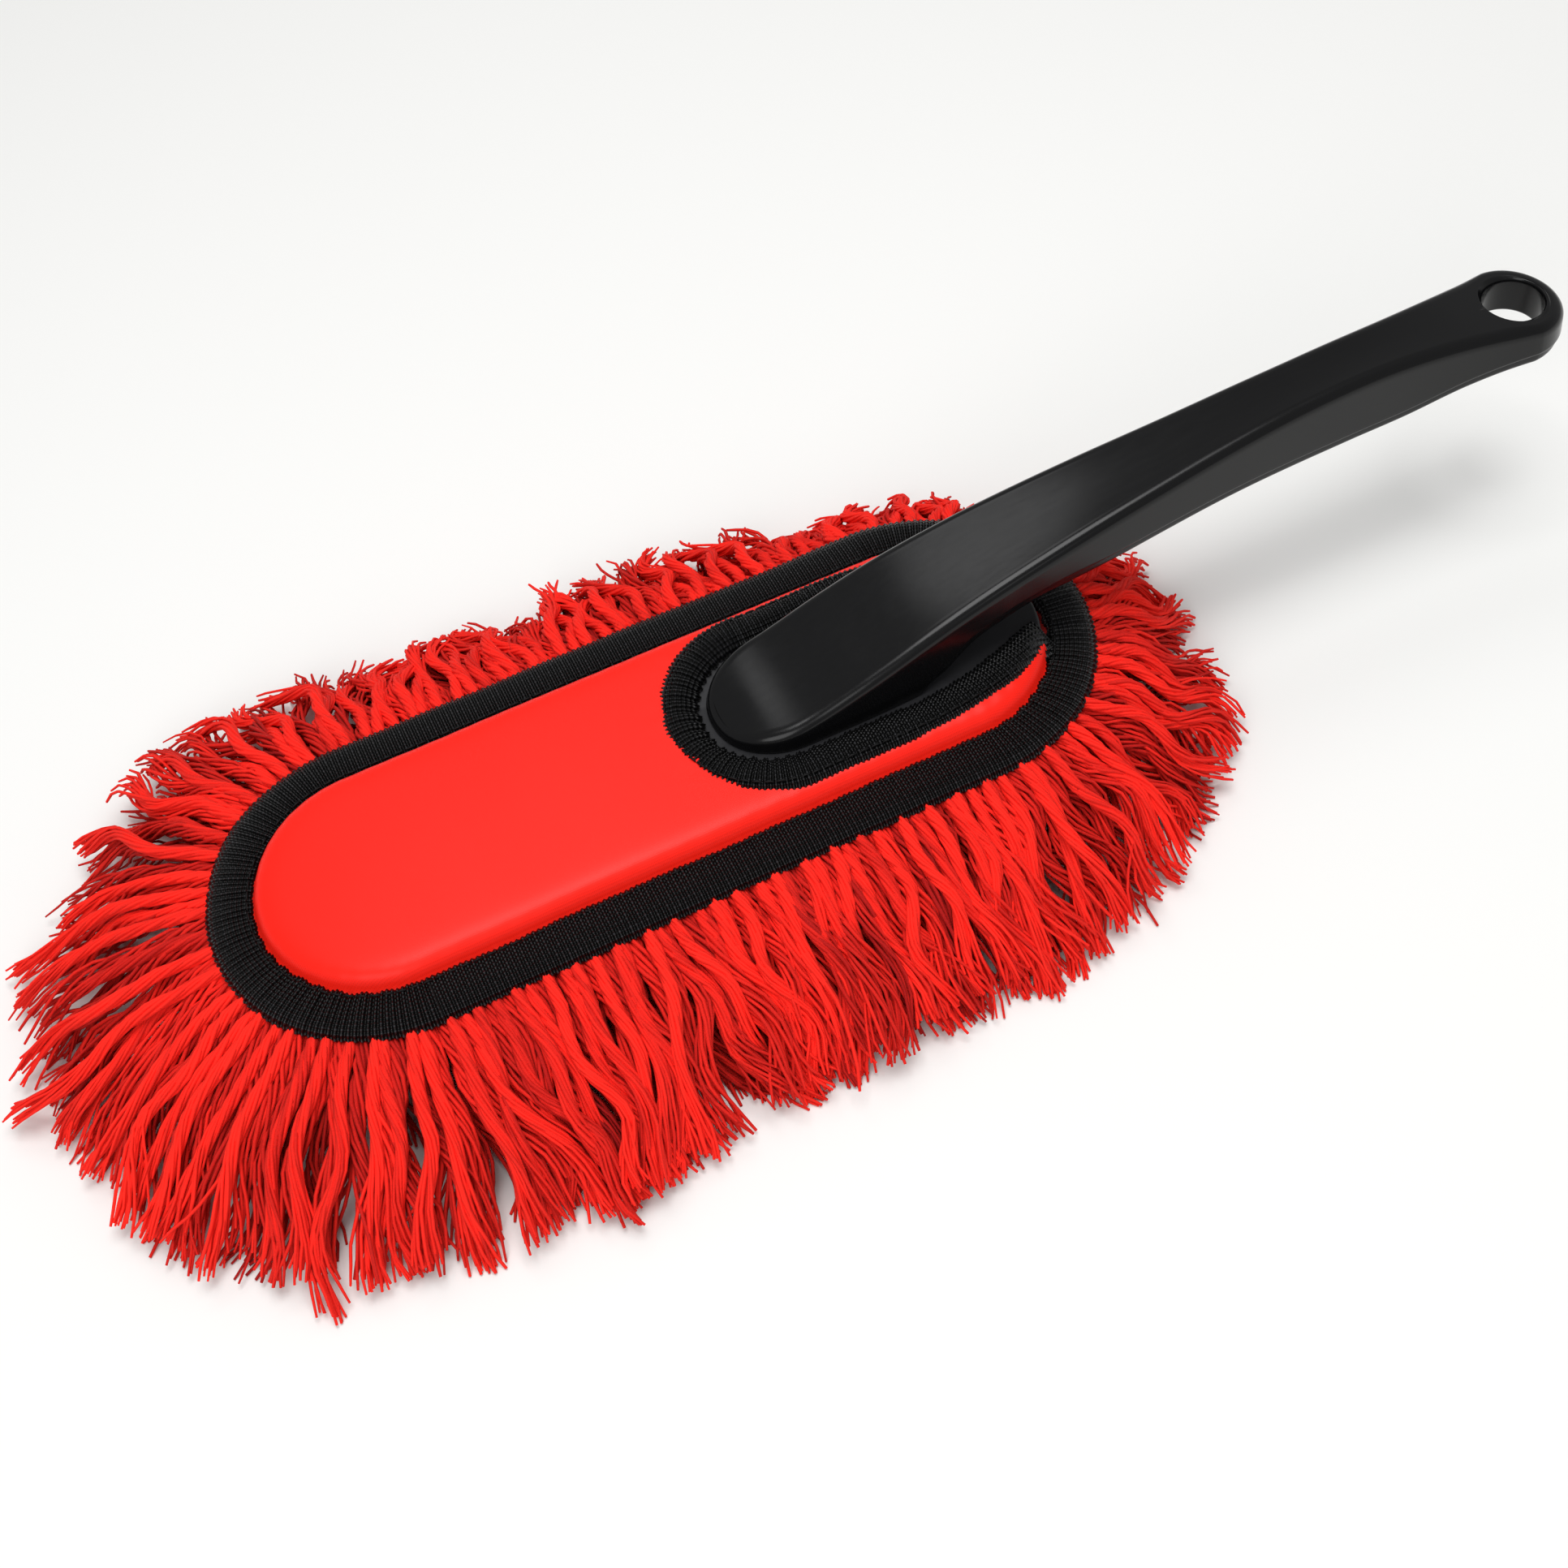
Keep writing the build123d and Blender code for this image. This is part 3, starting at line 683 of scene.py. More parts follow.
@dataclass(frozen=True)
class SlotShape:
    """The U-shaped slot, measured on the outside of its binding, in metres."""

    head: HeadShape
    nose_x: float = 32.0 * MM        # centre of the round nose, from the head's middle
    outer: float = 29.4 * MM
    straight_end_x: float = 58.0 * MM
    leg_radius: float = 116.9 * MM
    leg_end_x: float = 101.0 * MM

    def turn(self) -> float:
        """Angle through which each leg closes in."""
        return math.asin((self.leg_end_x - self.straight_end_x) / self.leg_radius)

    def measure(self, points: np.ndarray) -> tuple[np.ndarray, np.ndarray]:
        """Where points lie along the slot and how far inside its outer edge.

        Args:
            points: Rows of x, y, z.

        Returns:
            Distance along the binding from the middle of the nose, counted at its outer edge and
            negative on the near side, and the distance inwards from the outer edge.
        """
        x, y = points[:, 0] - self.head.centre_x - self.nose_x, np.abs(points[:, 1])
        side = np.where(points[:, 1] < 0, -1.0, 1.0)
        straight = self.straight_end_x - self.nose_x
        nose = math.pi / 2 * self.outer
        centre_y = self.outer - self.leg_radius
        angle = np.arctan2(x - straight, y - centre_y)
        along = np.where(x < 0, np.arctan2(y, -x) * self.outer,
                         np.where(x < straight, nose + x,
                                  nose + straight + angle * self.leg_radius))
        inside = np.where(x < 0, self.outer - np.hypot(x, y),
                          np.where(x < straight, self.outer - y,
                                   self.leg_radius - np.hypot(x - straight, y - centre_y)))
        return along * side, inside

    def carry(self, profile: list[tuple[float, float]], pitch: float,
              overrun: float) -> bmesh.types.BMesh:
        """Sweep a closed section along the slot from one leg's end to the other's.

        Args:
            profile: Distance inside the outer edge, and height above the head's plane.
            pitch: Distance between columns.
            overrun: How far each leg's arc goes on past its end, in metres.

        Returns:
            The swept mesh with closed ends.
        """
        x0, z0 = self.head.centre_x, self.head.plane_z
        straight = self.straight_end_x - self.nose_x
        turn = self.turn() + overrun / self.leg_radius
        centre_y = self.outer - self.leg_radius
        bm = bmesh.new()
        verts = []
        for inside, z in profile:
            radius = self.leg_radius - inside
            verts.append(bm.verts.new((x0 + self.straight_end_x + radius * math.sin(turn),
                                       -(centre_y + radius * math.cos(turn)), z0 + z)))
        edges = [bm.edges.new(pair) for pair in zip(verts, verts[1:] + verts[:1])]
        bm.faces.new(verts)

        def spin(edges: list, centre: tuple[float, float], angle: float, length: float) -> list:
            """Turn the section about a centre.

            Args:
                edges: The section's edges.
                centre: The centre's x and y.
                angle: How far to turn.
                length: Length of the turn at the outer edge, which sets the columns.

            Returns:
                The edges at the end of the turn.
            """
            steps = max(4, round(length / pitch))
            spun = bmesh.ops.spin(bm, geom=edges + list({v for e in edges for v in e.verts}),
                                  cent=(centre[0], centre[1], 0), axis=(0, 0, 1), angle=angle,
                                  steps=steps, dvec=(0, 0, 0), use_duplicate=False)
            return [g for g in spun["geom_last"] if isinstance(g, bmesh.types.BMEdge)]

        def run(edges: list, step_x: float, length: float) -> list:
            """Carry the section straight along x.

            Args:
                edges: The section's edges.
                step_x: 1 or -1, the way it goes.
                length: How far it goes.

            Returns:
                The edges at the end of the run.
            """
            steps = max(2, round(length / pitch))
            for _ in range(steps):
                grown = bmesh.ops.extrude_edge_only(bm, edges=edges)["geom"]
                moved = [g for g in grown if isinstance(g, bmesh.types.BMVert)]
                bmesh.ops.translate(bm, verts=moved, vec=(step_x * length / steps, 0, 0))
                edges = [g for g in grown if isinstance(g, bmesh.types.BMEdge)]
            return edges

        leg = turn * self.leg_radius
        edges = spin(edges, (x0 + self.straight_end_x, -centre_y), -turn, leg)
        edges = run(edges, -1, straight)
        edges = spin(edges, (x0 + self.nose_x, 0), -math.pi, math.pi * self.outer)
        edges = run(edges, 1, straight)
        edges = spin(edges, (x0 + self.straight_end_x, centre_y), -turn, leg)
        bmesh.ops.edgeloop_fill(bm, edges=edges)
        bmesh.ops.remove_doubles(bm, verts=bm.verts, dist=DOUBLES)
        bmesh.ops.recalc_face_normals(bm, faces=bm.faces)
        return bm


# --------------------------------------------------------------------------- cover


@dataclass
class TapeSize:
    """Sizes of a binding tape."""

    rib_pitch: float = RIB_MM * MM
    rib_height: float = 0.26 * MM
    columns_per_rib: int = 4
    pucker_pitch: float = 6.5 * MM       # of the edge tape at the round ends
    pucker_height: float = 0.35 * MM
    gather_pitch: float = 4.6 * MM       # of the slot's tape, drawn in by its elastic
    gather_height: float = 0.42 * MM


@dataclass
class Cover:
    """The washable cover's fabrics and tapes, without its strands."""

    head: HeadShape
    slot: SlotShape
    tape: TapeSize
    tape_width: float = 13.0 * MM
    slot_tape_width: float = 10.5 * MM
    stitch: float = 2.6 * MM
    edge_stitch_inset: float = 11.2 * MM     # from the tape's outer edge
    edge_stitch_height: float = 2.2 * MM
    body: Body = Body.COVER

    def edge_binding(self, material: bpy.types.Material) -> bpy.types.Object:
        """Ribbed tape folded round the cover's edge, a little gathered at the round ends.

        Args:
            material: The tape's finish.

        Returns:
            The finished piece.
        """
        r, w = self.head.radius, self.tape_width
        section = [(r - w, 0.9), (r - w + 0.5 * MM, 1.75), (r - w + 2 * MM, 2.15),
                   (r - w / 2, 2.3), (r - 2.6 * MM, 2.0), (r - 0.9 * MM, 1.2), (r, 0.0),
                   (r - 0.5 * MM, -1.2), (r - 2.4 * MM, -1.9), (r - w / 2, -2.1),
                   (r - w + 1.5 * MM, -1.9), (r - w, -0.9)]
        profile = [(radius, z * MM) for radius, z in section]
        bm = self.head.carry(profile, self.tape.rib_pitch / self.tape.columns_per_rib, True)
        piece = object_from(bm, "edge_binding_tape")
        points = read_points(piece.data)
        normals = self.normals(piece.data)
        along, across = self.head.measure(points, r - w / 2)
        length = self.head.length(r - w / 2)
        ribs = round(length / self.tape.rib_pitch)
        lift = np.cos(along / length * ribs * math.tau) * self.tape.rib_height
        inwards = np.clip((r - across) / w, 0, 1)
        at_ends = np.clip((np.abs(points[:, 0] - self.head.centre_x)
                           - self.head.half_straight) / (15 * MM), 0, 1)
        puckers = round(length / self.tape.pucker_pitch)
        phase = along / length * puckers * math.tau + 1.5 * ripple(along / length * 40, 3)
        lift += np.sin(phase) * self.tape.pucker_height * inwards * (0.25 + 0.75 * at_ends)
        lift += ripple(along / length * 30, 5) * 0.25 * MM
        write_points(piece.data, points + normals * lift[:, None])
        write_uv(piece.data, np.column_stack([along / length * ribs * self.tape.rib_pitch, across]))
        return finish_piece(piece, self.body, material, ("edge_binding",))

    def slot_binding(self, material: bpy.types.Material) -> bpy.types.Object:
        """Ribbed tape round the slot, gathered by its elastic and dipping towards the handle.

        Args:
            material: The tape's finish.

        Returns:
            The finished piece.
        """
        w = self.slot_tape_width
        section = [(0.0, 6.3), (0.5, 7.3), (2.2, 8.2), (4.6, 8.5), (7.0, 8.1), (9.2, 7.0),
                   (10.5, 5.9), (10.3, 5.45), (8.0, 5.4), (4.0, 5.5), (1.0, 5.7)]
        profile = [(inside * MM, z * MM) for inside, z in section]
        bm = self.slot.carry(profile, self.tape.rib_pitch / self.tape.columns_per_rib, 6 * MM)
        piece = object_from(bm, "slot_binding_tape")
        points = read_points(piece.data)
        normals = self.normals(piece.data)
        along, inside = self.slot.measure(points)
        lift = np.cos(along / self.tape.rib_pitch * math.tau) * self.tape.rib_height
        nose = np.clip(1.6 - np.abs(along) / (50 * MM), 0.3, 1.0)
        phase = along / self.tape.gather_pitch * math.tau + 1.2 * ripple(along / MM * 0.12, 11)
        lift += np.sin(phase) * self.tape.gather_height * nose * np.clip(inside / w, 0.15, 1)
        lift += ripple(along / MM * 0.1, 12) * 0.3 * MM
        points = points + normals * lift[:, None]
        points[:, 2] += self.drop_to_tape(points)
        write_points(piece.data, points)
        write_uv(piece.data, np.column_stack([along, inside]))
        return finish_piece(piece, self.body, material,
                            ("slot_binding", "slot_elastic"))

    def drop_to_tape(self, points: np.ndarray) -> np.ndarray:
        """How far the slot's legs sink where they run over the paddle's end to the edge tape.

        Args:
            points: Rows of x, y, z.

        Returns:
            The change of height at each point, zero or negative.
        """
        _, across = self.head.measure(points, self.head.radius)
        edge = self.head.radius - self.tape_width
        t = np.clip((across - (edge - 5 * MM)) / (6.5 * MM), 0, 1)
        rear = np.clip((points[:, 0] - self.head.centre_x - 80 * MM) / (10 * MM), 0, 1)
        return -6.2 * MM * (t * t * (3 - 2 * t)) * rear

    @staticmethod
    def normals(mesh: bpy.types.Mesh) -> np.ndarray:
        """Read a mesh's vertex normals.

        Args:
            mesh: The mesh.

        Returns:
            Rows of x, y, z.
        """
        values = np.empty(len(mesh.vertices) * 3, np.float32)
        mesh.vertex_normals.foreach_get("vector", values)
        return values.reshape(-1, 3).astype(np.float64)

    def top_panel(self, material: bpy.types.Material) -> bpy.types.Object:
        """Satin fabric stretched over the paddle's edge, with the slot cut out.

        Args:
            material: The fabric's finish.

        Returns:
            The finished piece.
        """
        r, w = self.head.radius, self.tape_width
        section = [(0.0, 7.9), (3, 7.88), (6, 7.84), (9, 7.78), (12, 7.7), (15, 7.6), (18, 7.48),
                   (21, 7.34), (24, 7.16), (26.5, 6.94), (28.4, 6.62), (29.8, 6.15), (30.8, 5.5),
                   (31.5, 4.7), (32.0, 3.8), (32.35, 2.8), (32.7, 1.9), (33.3, 1.1), (34.5, 0.5),
                   (37.0, 0.3), (42.9, 0.3)]
        profile = [(radius * MM, z * MM) for radius, z in section]
        bm = self.head.carry(profile, 1.6 * MM, False)
        bm.faces.ensure_lookup_table()
        centres = np.array([face.calc_center_median()[:] for face in bm.faces])
        _, inside = self.slot.measure(centres)
        _, across = self.head.measure(centres, r)
        cut = np.flatnonzero((inside > 3.5 * MM) & (across < r - w + 0.5 * MM))
        inside_slot = [bm.faces[k] for k in cut]
        bmesh.ops.delete(bm, geom=inside_slot, context="FACES")
        piece = object_from(bm, "satin_top_panel")
        points = read_points(piece.data)
        along, across = self.head.measure(points, r)
        seam = np.exp(-((across - (r - w + 0.2 * MM)) / (2.2 * MM)) ** 2)
        wave = np.sin(along / (7.5 * MM) * math.tau + 2 * ripple(along / MM * 0.05, 21))
        points[:, 2] += seam * wave * 0.10 * MM
        slot_along, inside = self.slot.measure(points)
        near_slot = np.exp(-np.clip(-inside, 0, None) / (5 * MM))
        on_top = across < r - w - 1 * MM
        points[:, 2] += np.where(on_top, near_slot * 0.09 * MM * np.sin(
            slot_along / (5.2 * MM) * math.tau + ripple(slot_along / MM * 0.1, 22)), 0)
        points[:, 2] += ripple(points[:, 0] / MM * 0.045, 23) * 0.12 * MM * on_top
        write_points(piece.data, points)
        write_uv(piece.data, points[:, :2])
        shell = piece.modifiers.new("thickness", "SOLIDIFY")
        shell.thickness, shell.offset = 0.45 * MM, -1.0
        smooth = piece.modifiers.new("smooth", "SUBSURF")
        smooth.levels = smooth.render_levels = 1
        return finish_piece(piece, self.body, material, ("top_panel",))

    def backing_panel(self, material: bpy.types.Material) -> bpy.types.Object:
        """Canvas under the paddle that the strand rows are sewn to, a little slack.

        Args:
            material: The canvas's finish.

        Returns:
            The finished piece.
        """
        r = self.head.radius - 2.6 * MM
        profile = [(radius, -0.25 * MM) for radius in np.linspace(0, r, 16)]
        piece = object_from(self.head.carry(profile, 2.5 * MM, False), "canvas_backing_panel")
        points = read_points(piece.data)
        _, across = self.head.measure(points, r)
        slack = np.clip((r - 8 * MM - across) / (10 * MM), 0, 1)
        points[:, 2] += slack * 0.3 * MM * (ripple(points[:, 0] / MM * 0.06, 31)
                                            + ripple(points[:, 1] / MM * 0.09, 32) - 0.8)
        write_points(piece.data, points)
        write_uv(piece.data, points[:, :2])
        shell = piece.modifiers.new("thickness", "SOLIDIFY")
        shell.thickness, shell.offset = 0.6 * MM, -1.0
        return finish_piece(piece, self.body, material, ("backing_panel",))

    def stitch_line(self, name: str, places: np.ndarray, ahead: np.ndarray, lift: np.ndarray,
                    material: bpy.types.Material, node: str) -> bpy.types.Object:
        """Lay one short bulging thread at each place.

        Args:
            name: Name of the piece.
            places: Middle of each stitch.
            ahead: Unit direction of each stitch.
            lift: Height of the stitch's middle over its ends, by stitch.
            material: The thread's finish.
            node: CAD node that the stitches stand for.

        Returns:
            The stitches as one piece.
        """
        along = np.array([-0.5, -0.35, 0.0, 0.35, 0.5]) * self.stitch
        rise = np.array([-0.9, 0.4, 1.0, 0.4, -0.9])
        lines = places[:, None, :] + ahead[:, None, :] * along[None, :, None]
        lines[..., 2] += lift[:, None] * rise[None, :]
        radii = np.tile(np.array([0.12, 0.26, 0.3, 0.26, 0.12]) * MM, (len(places), 1))
        return finish_piece(tubes(name, lines, radii, 6), self.body, material, (node,))

    def head_stitches(self, name: str, radii: tuple[float, ...], height: float,
                      material: bpy.types.Material, node: str) -> bpy.types.Object:
        """Lines of stitches round the head at one height.

        Args:
            name: Name of the piece.
            radii: Distance of each line from the head's middle segment.
            height: Height of the cloth above the binding's plane.
            material: The thread's finish.
            node: CAD node that the stitches stand for.

        Returns:
            The stitches as one piece.
        """
        places, ahead = [], []
        for radius in radii:
            length = self.head.length(radius)
            count = round(length / (self.stitch * 1.25))
            x, angle = self.head.walk(np.arange(count) / count * length, radius)
            places.append(np.column_stack([self.head.centre_x + x + radius * np.cos(angle),
                                           radius * np.sin(angle),
                                           np.full(count, self.head.plane_z + height)]))
            ahead.append(np.column_stack([-np.sin(angle), np.cos(angle), 0 * angle]))
        places, ahead = np.concatenate(places), np.concatenate(ahead)
        lift = np.full(len(places), 0.22 * MM)
        return self.stitch_line(name, places, ahead, lift, material, node)

    def slot_stitches(self, material: bpy.types.Material) -> bpy.types.Object:
        """Stitches near the outer edge of the slot's binding, sunk into its gathers.

        Args:
            material: The thread's finish.

        Returns:
            The finished piece.
        """
        inset = 1.9 * MM
        profile = [(inset, 8.15 * MM), (inset, 8.1 * MM), (inset + 0.1 * MM, 8.1 * MM)]
        bm = self.slot.carry(profile, self.stitch * 1.25, 2 * MM)
        path = np.array([v.co[:] for v in bm.verts])
        bm.free()
        path = path[path[:, 2] > self.head.plane_z + 8.12 * MM]
        along, _ = self.slot.measure(path)
        path = path[np.argsort(along)]
        path[:, 2] += self.drop_to_tape(path)
        ahead = np.gradient(path, axis=0)
        ahead /= np.linalg.norm(ahead, axis=1, keepdims=True)
        return self.stitch_line("slot_stitches", path, ahead, np.full(len(path), 0.22 * MM),
                                material, "slot_stitching")


# --------------------------------------------------------------------------- handle


@dataclass(frozen=True)
class Handle:
    """The hollow handle: an upper shell with a lip, and a lower strip set back under it.

    Sizes are in millimetres from the middle of the head and from the binding's plane.
    """

    head: HeadShape
    body: Body = Body.HANDLE
    nose_x: float = 15.2
    nose_length: float = 20.0
    nose_half: float = 17.6
    end_x: float = 264.3
    end_radius: float = 13.8
    waist: tuple[tuple[float, float], ...] = (
        (54, 17.6), (90, 15.5), (126, 12.9), (162, 10.4), (190, 9.5), (216, 10.0), (236, 11.8))
    top_line: tuple[tuple[float, float], ...] = (
        (14, 6.6), (22, 9.6), (36, 12.9), (54, 18.9), (72, 24.8), (90, 29.4), (108, 32.8),
        (144, 37.9), (180, 41.8), (202, 42.8), (226, 41.9), (246, 39.9), (264.3, 37.9))
    under_line: tuple[tuple[float, float], ...] = (
        (66, 5.2), (74, 8.6), (82, 14.4), (92, 17.4), (126, 19.4), (162, 21.2), (196, 21.6),
        (214, 22.4), (232, 25.6), (248, 27.3), (264.3, 27.4))
    strip_height: float = 3.2
    strip_inset: float = 0.6
    strip_start_x: float = 69.0
    hole_x: float = 250.8
    hole_radius: float = 8.0
    tube_radius: float = 10.2
    rim: float = 1.3             # rounding of the hole's rim
    edge: float = 3.0            # rounding of the upper shell's top edge
    draft: float = 0.4           # how much the sides close in towards the top
    hollow: float = 0.45         # how far the top sinks between its edges

    def outline(self, inset: float, start_x: float | None = None) -> np.ndarray:
        """The handle's plan as a closed loop, starting at its front and running along +y.

        Args:
            inset: How far the plan is drawn in.
            start_x: Where it is cut off in front; None keeps the round nose.

        Returns:
            Rows of x and y.
        """
        nose_centre, end_centre = self.nose_x + self.nose_length, self.end_x - self.end_radius
        rails = ((nose_centre, self.nose_half),) + self.waist + ((end_centre, self.end_radius),)
        if start_x is None:
            turn = np.linspace(0, math.pi / 2, 17)[:-1]
            front_x = nose_centre - self.nose_length * np.cos(turn) ** 0.94
            front_y = self.nose_half * np.sin(turn) ** 0.94
            side_x = np.linspace(nose_centre, end_centre, 118)[:-1]
        else:
            side_x = np.linspace(start_x, end_centre, 102)[:-1]
            front_y = np.linspace(0, smooth_line(side_x[:1], rails)[0], 9)[:-1]
            front_x = np.full(8, start_x)
        turn = np.linspace(math.pi / 2, 0, 24)
        x = np.concatenate([front_x, side_x, end_centre + self.end_radius * np.cos(turn)])
        y = np.concatenate([front_y, smooth_line(side_x, rails), self.end_radius * np.sin(turn)])
        loop = np.column_stack([np.concatenate([x, x[-2:0:-1]]),
                                np.concatenate([y, -y[-2:0:-1]])])
        return loop if not inset else self.towards(loop, self.targets(loop, 1.0), inset)

    def targets(self, loop: np.ndarray, hole: float) -> np.ndarray:
        """Where each point of a plan ends when the plan shrinks to the midline and the hole.

        Args:
            loop: Rows of x and y.
            hole: Radius of the hole at the height of the shrunken plan.

        Returns:
            Rows of x and y, on the midline or round the hole.
        """
        x, y = loop.T
        last = int(np.argmax(x))
        begin = self.hole_x - hole - 4
        front = x[0]
        focus = front + 0.75 * self.nose_length
        late = np.clip((x - focus) / (begin - focus), 0, 1)
        middle = np.where(x < focus, focus - 0.3 * (focus - x), x + 4 * late ** 6)
        step = np.hypot(*np.diff(loop, axis=0).T)
        run = np.concatenate([[0], np.cumsum(step)])
        run = np.minimum(run, 2 * run[last] - run)
        start = np.interp(begin, x[:last + 1], run[:last + 1])
        share = np.clip((run - start) / (run[last] - start), 0, 1)
        angle = math.pi * (1 - share) * np.where(y < 0, -1, 1)
        round_hole = np.column_stack([self.hole_x + hole * np.cos(angle), hole * np.sin(angle)])
        return np.where((x < begin)[:, None], np.column_stack([middle, 0 * x]), round_hole)

    @staticmethod
    def towards(loop: np.ndarray, goal: np.ndarray, distance: float | np.ndarray) -> np.ndarray:
        """Move points towards their goals by a distance.

        Args:
            loop: Rows of x and y.
            goal: Where each point is heading.
            distance: How far to move, for all points or for each.

        Returns:
            The moved points.
        """
        way = goal - loop
        return loop + way * (np.broadcast_to(distance, len(loop))
                             / np.maximum(np.hypot(*way.T), 1e-6))[:, None]

    def top(self, x: np.ndarray) -> np.ndarray:
        """Height of the top along the handle."""
        return smooth_line(x, self.top_line)

    def lip(self, x: np.ndarray) -> np.ndarray:
        """Height of the upper shell's lower edge along the handle."""
        u = np.clip((x - 66) / 6, 0, 1)
        return smooth_line(x, self.under_line) + self.strip_height * u * u * (3 - 2 * u)

    def place(self, loop: np.ndarray, height: np.ndarray) -> np.ndarray:
        """Put a plan at its heights in the shared frame, in metres."""
        points = np.column_stack([loop, height]) * MM
        return points + (self.head.centre_x, 0, self.head.plane_z)

    def hole_edges(self, edges: list, hole: float) -> list:
        """Find those of a ring's edges that lie round the hole.

        Args:
            edges: The ring's edges.
            hole: Radius that they have to lie at, in millimetres.

        Returns:
            The edges round the hole.
        """
        centre = np.array([self.head.centre_x + self.hole_x * MM, 0.0])
        return [e for e in edges if e.is_valid and all(
            abs(np.hypot(*(np.array(v.co[:2]) - centre)) - hole * MM) < 0.05 * MM
            for v in e.verts)]

    def line_hole(self, bm: bmesh.types.BMesh, edges: list,
                  steps: list[tuple[float, float | None]]) -> None:
        """Extrude the hole's lining from the ring round it.

        Args:
            bm: The mesh.
            edges: The ring.
            steps: Radius and height of each further ring; without a height it follows the
                underside.
        """
        centre = np.array([self.head.centre_x + self.hole_x * MM, 0.0])
        for radius, height in steps:
            grown = bmesh.ops.extrude_edge_only(bm, edges=edges)["geom"]
            edges = [g for g in grown if isinstance(g, bmesh.types.BMEdge)]
            for vert in (g for g in grown if isinstance(g, bmesh.types.BMVert)):
                away = np.array(vert.co[:2]) - centre
                x, y = centre + away / np.hypot(*away) * radius * MM
                local = np.array([(x - self.head.centre_x) / MM])
                z = smooth_line(local, self.under_line)[0] if height is None else height
                vert.co = (x, y, self.head.plane_z + z * MM)

    def upper_shell(self, material: bpy.types.Material) -> bpy.types.Object:
        """The upper shell: lip, sides with draft, rounded edge, sunk top and the hole's tube.

        Args:
            material: The plastic's finish.

        Returns:
            The finished piece.
        """
        plan = self.outline(0)
        rim_radius = self.hole_radius + self.rim
        goal = self.targets(plan, rim_radius)
        x = plan[:, 0]
        lip = self.lip(x)
        rings = [self.place(self.towards(plan, goal, inset), lip + rise) for inset, rise in
                 ((2.2, 3.0), (2.0, 0.4), (1.2, 0.0), (0.3, 0.05), (0.06, 0.25), (0.0, 0.6))]
        edge = np.minimum(self.edge, 0.55 * (self.top(x) - lip))
        draft = np.minimum(self.draft, 0.3 * (self.top(x) - lip))
        for share in (0.08, 0.35, 0.65, 0.94, 1.0):
            ring = self.towards(plan, goal, draft * share)
            low, high = lip + 0.6, self.top(ring[:, 0]) - edge
            rings.append(self.place(ring, low + (high - low) * share))
        for turn in np.radians((15, 30, 45, 60, 75, 90)):
            ring = self.towards(plan, goal, draft + edge * (1 - math.cos(turn)))
            rings.append(self.place(ring, self.top(ring[:, 0]) - edge * (1 - math.sin(turn))))
        shoulder = self.towards(plan, goal, draft + edge)
        for share in (0.06, 0.25, 0.5, 0.75, 0.95, 1.0):
            ring = shoulder + (goal - shoulder) * share
            sink = self.hollow * (1 - (1 - share) ** 2) \
                * np.clip((ring[:, 0] - 26) / 30, 0, 1) * np.clip((232 - ring[:, 0]) / 30, 0, 1)
            rings.append(self.place(ring, self.top(ring[:, 0]) - sink))
        bm = bmesh.new()
        edges = self.hole_edges(grow_rings(bm, rings), rim_radius)
        level = float(self.top(np.array([self.hole_x]))[0])
        under = float(smooth_line(np.array([self.hole_x]), self.under_line)[0])
        steps = [(rim_radius - self.rim * math.sin(turn),
                  level - self.rim * (1 - math.cos(turn)) * 1.2)
                 for turn in np.radians((30, 50, 70, 90))]
        steps += [(self.hole_radius, level - 3.2), (self.hole_radius, under + 1.4),
                  (self.hole_radius + 0.5, under + 0.6), (self.hole_radius + 1.5, None),
                  (self.tube_radius, None), (self.tube_radius, under + 3.0)]
        self.line_hole(bm, edges, steps)
        bmesh.ops.remove_doubles(bm, verts=bm.verts, dist=0.02 * MM)
        bmesh.ops.recalc_face_normals(bm, faces=bm.faces)
        piece = object_from(bm, "handle_upper_moulding")
        even = piece.modifiers.new("even_shading", "WEIGHTED_NORMAL")
        even.keep_sharp = False
        return finish_piece(piece, self.body, material, ("handle_upper_shell",))

    def lower_strip(self, material: bpy.types.Material) -> bpy.types.Object:
        """The lower strip: a flat underside with rounded edges, let into the upper shell.

        Args:
            material: The plastic's finish.

        Returns:
            The finished piece.
        """
        plan = self.outline(self.strip_inset, self.strip_start_x)
        tube = self.tube_radius + 0.1
        goal = self.targets(plan, tube)
        x = plan[:, 0]
        lip, under = self.lip(x), smooth_line(x, self.under_line)
        edge = 1.3
        rings = [self.place(self.towards(plan, goal, 0.5), lip + 1.5),
                 self.place(plan, lip + 0.4), self.place(plan, lip - 0.5),
                 self.place(plan, under + edge + 0.3)]
        for turn in np.radians((0, 20, 40, 60, 80, 90)):
            ring = self.towards(plan, goal, edge * (1 - math.cos(turn)))
            height = smooth_line(ring[:, 0], self.under_line)
            rings.append(self.place(ring, height + edge * (1 - math.sin(turn))))
        shoulder = self.towards(plan, goal, edge)
        for share in (0.06, 0.5, 0.94, 1.0):
            ring = shoulder + (goal - shoulder) * share
            rings.append(self.place(ring, smooth_line(ring[:, 0], self.under_line)))
        bm = bmesh.new()
        edges = self.hole_edges(grow_rings(bm, rings), tube)
        level = float(smooth_line(np.array([self.hole_x]), self.under_line)[0])
        self.line_hole(bm, edges, [(tube, level + 2.5)])
        bmesh.ops.remove_doubles(bm, verts=bm.verts, dist=0.02 * MM)
        bmesh.ops.recalc_face_normals(bm, faces=bm.faces)
        piece = object_from(bm, "handle_lower_moulding")
        even = piece.modifiers.new("even_shading", "WEIGHTED_NORMAL")
        even.keep_sharp = False
        return finish_piece(piece, self.body, material, ("handle_lower_shell",))


# --------------------------------------------------------------------------- strands


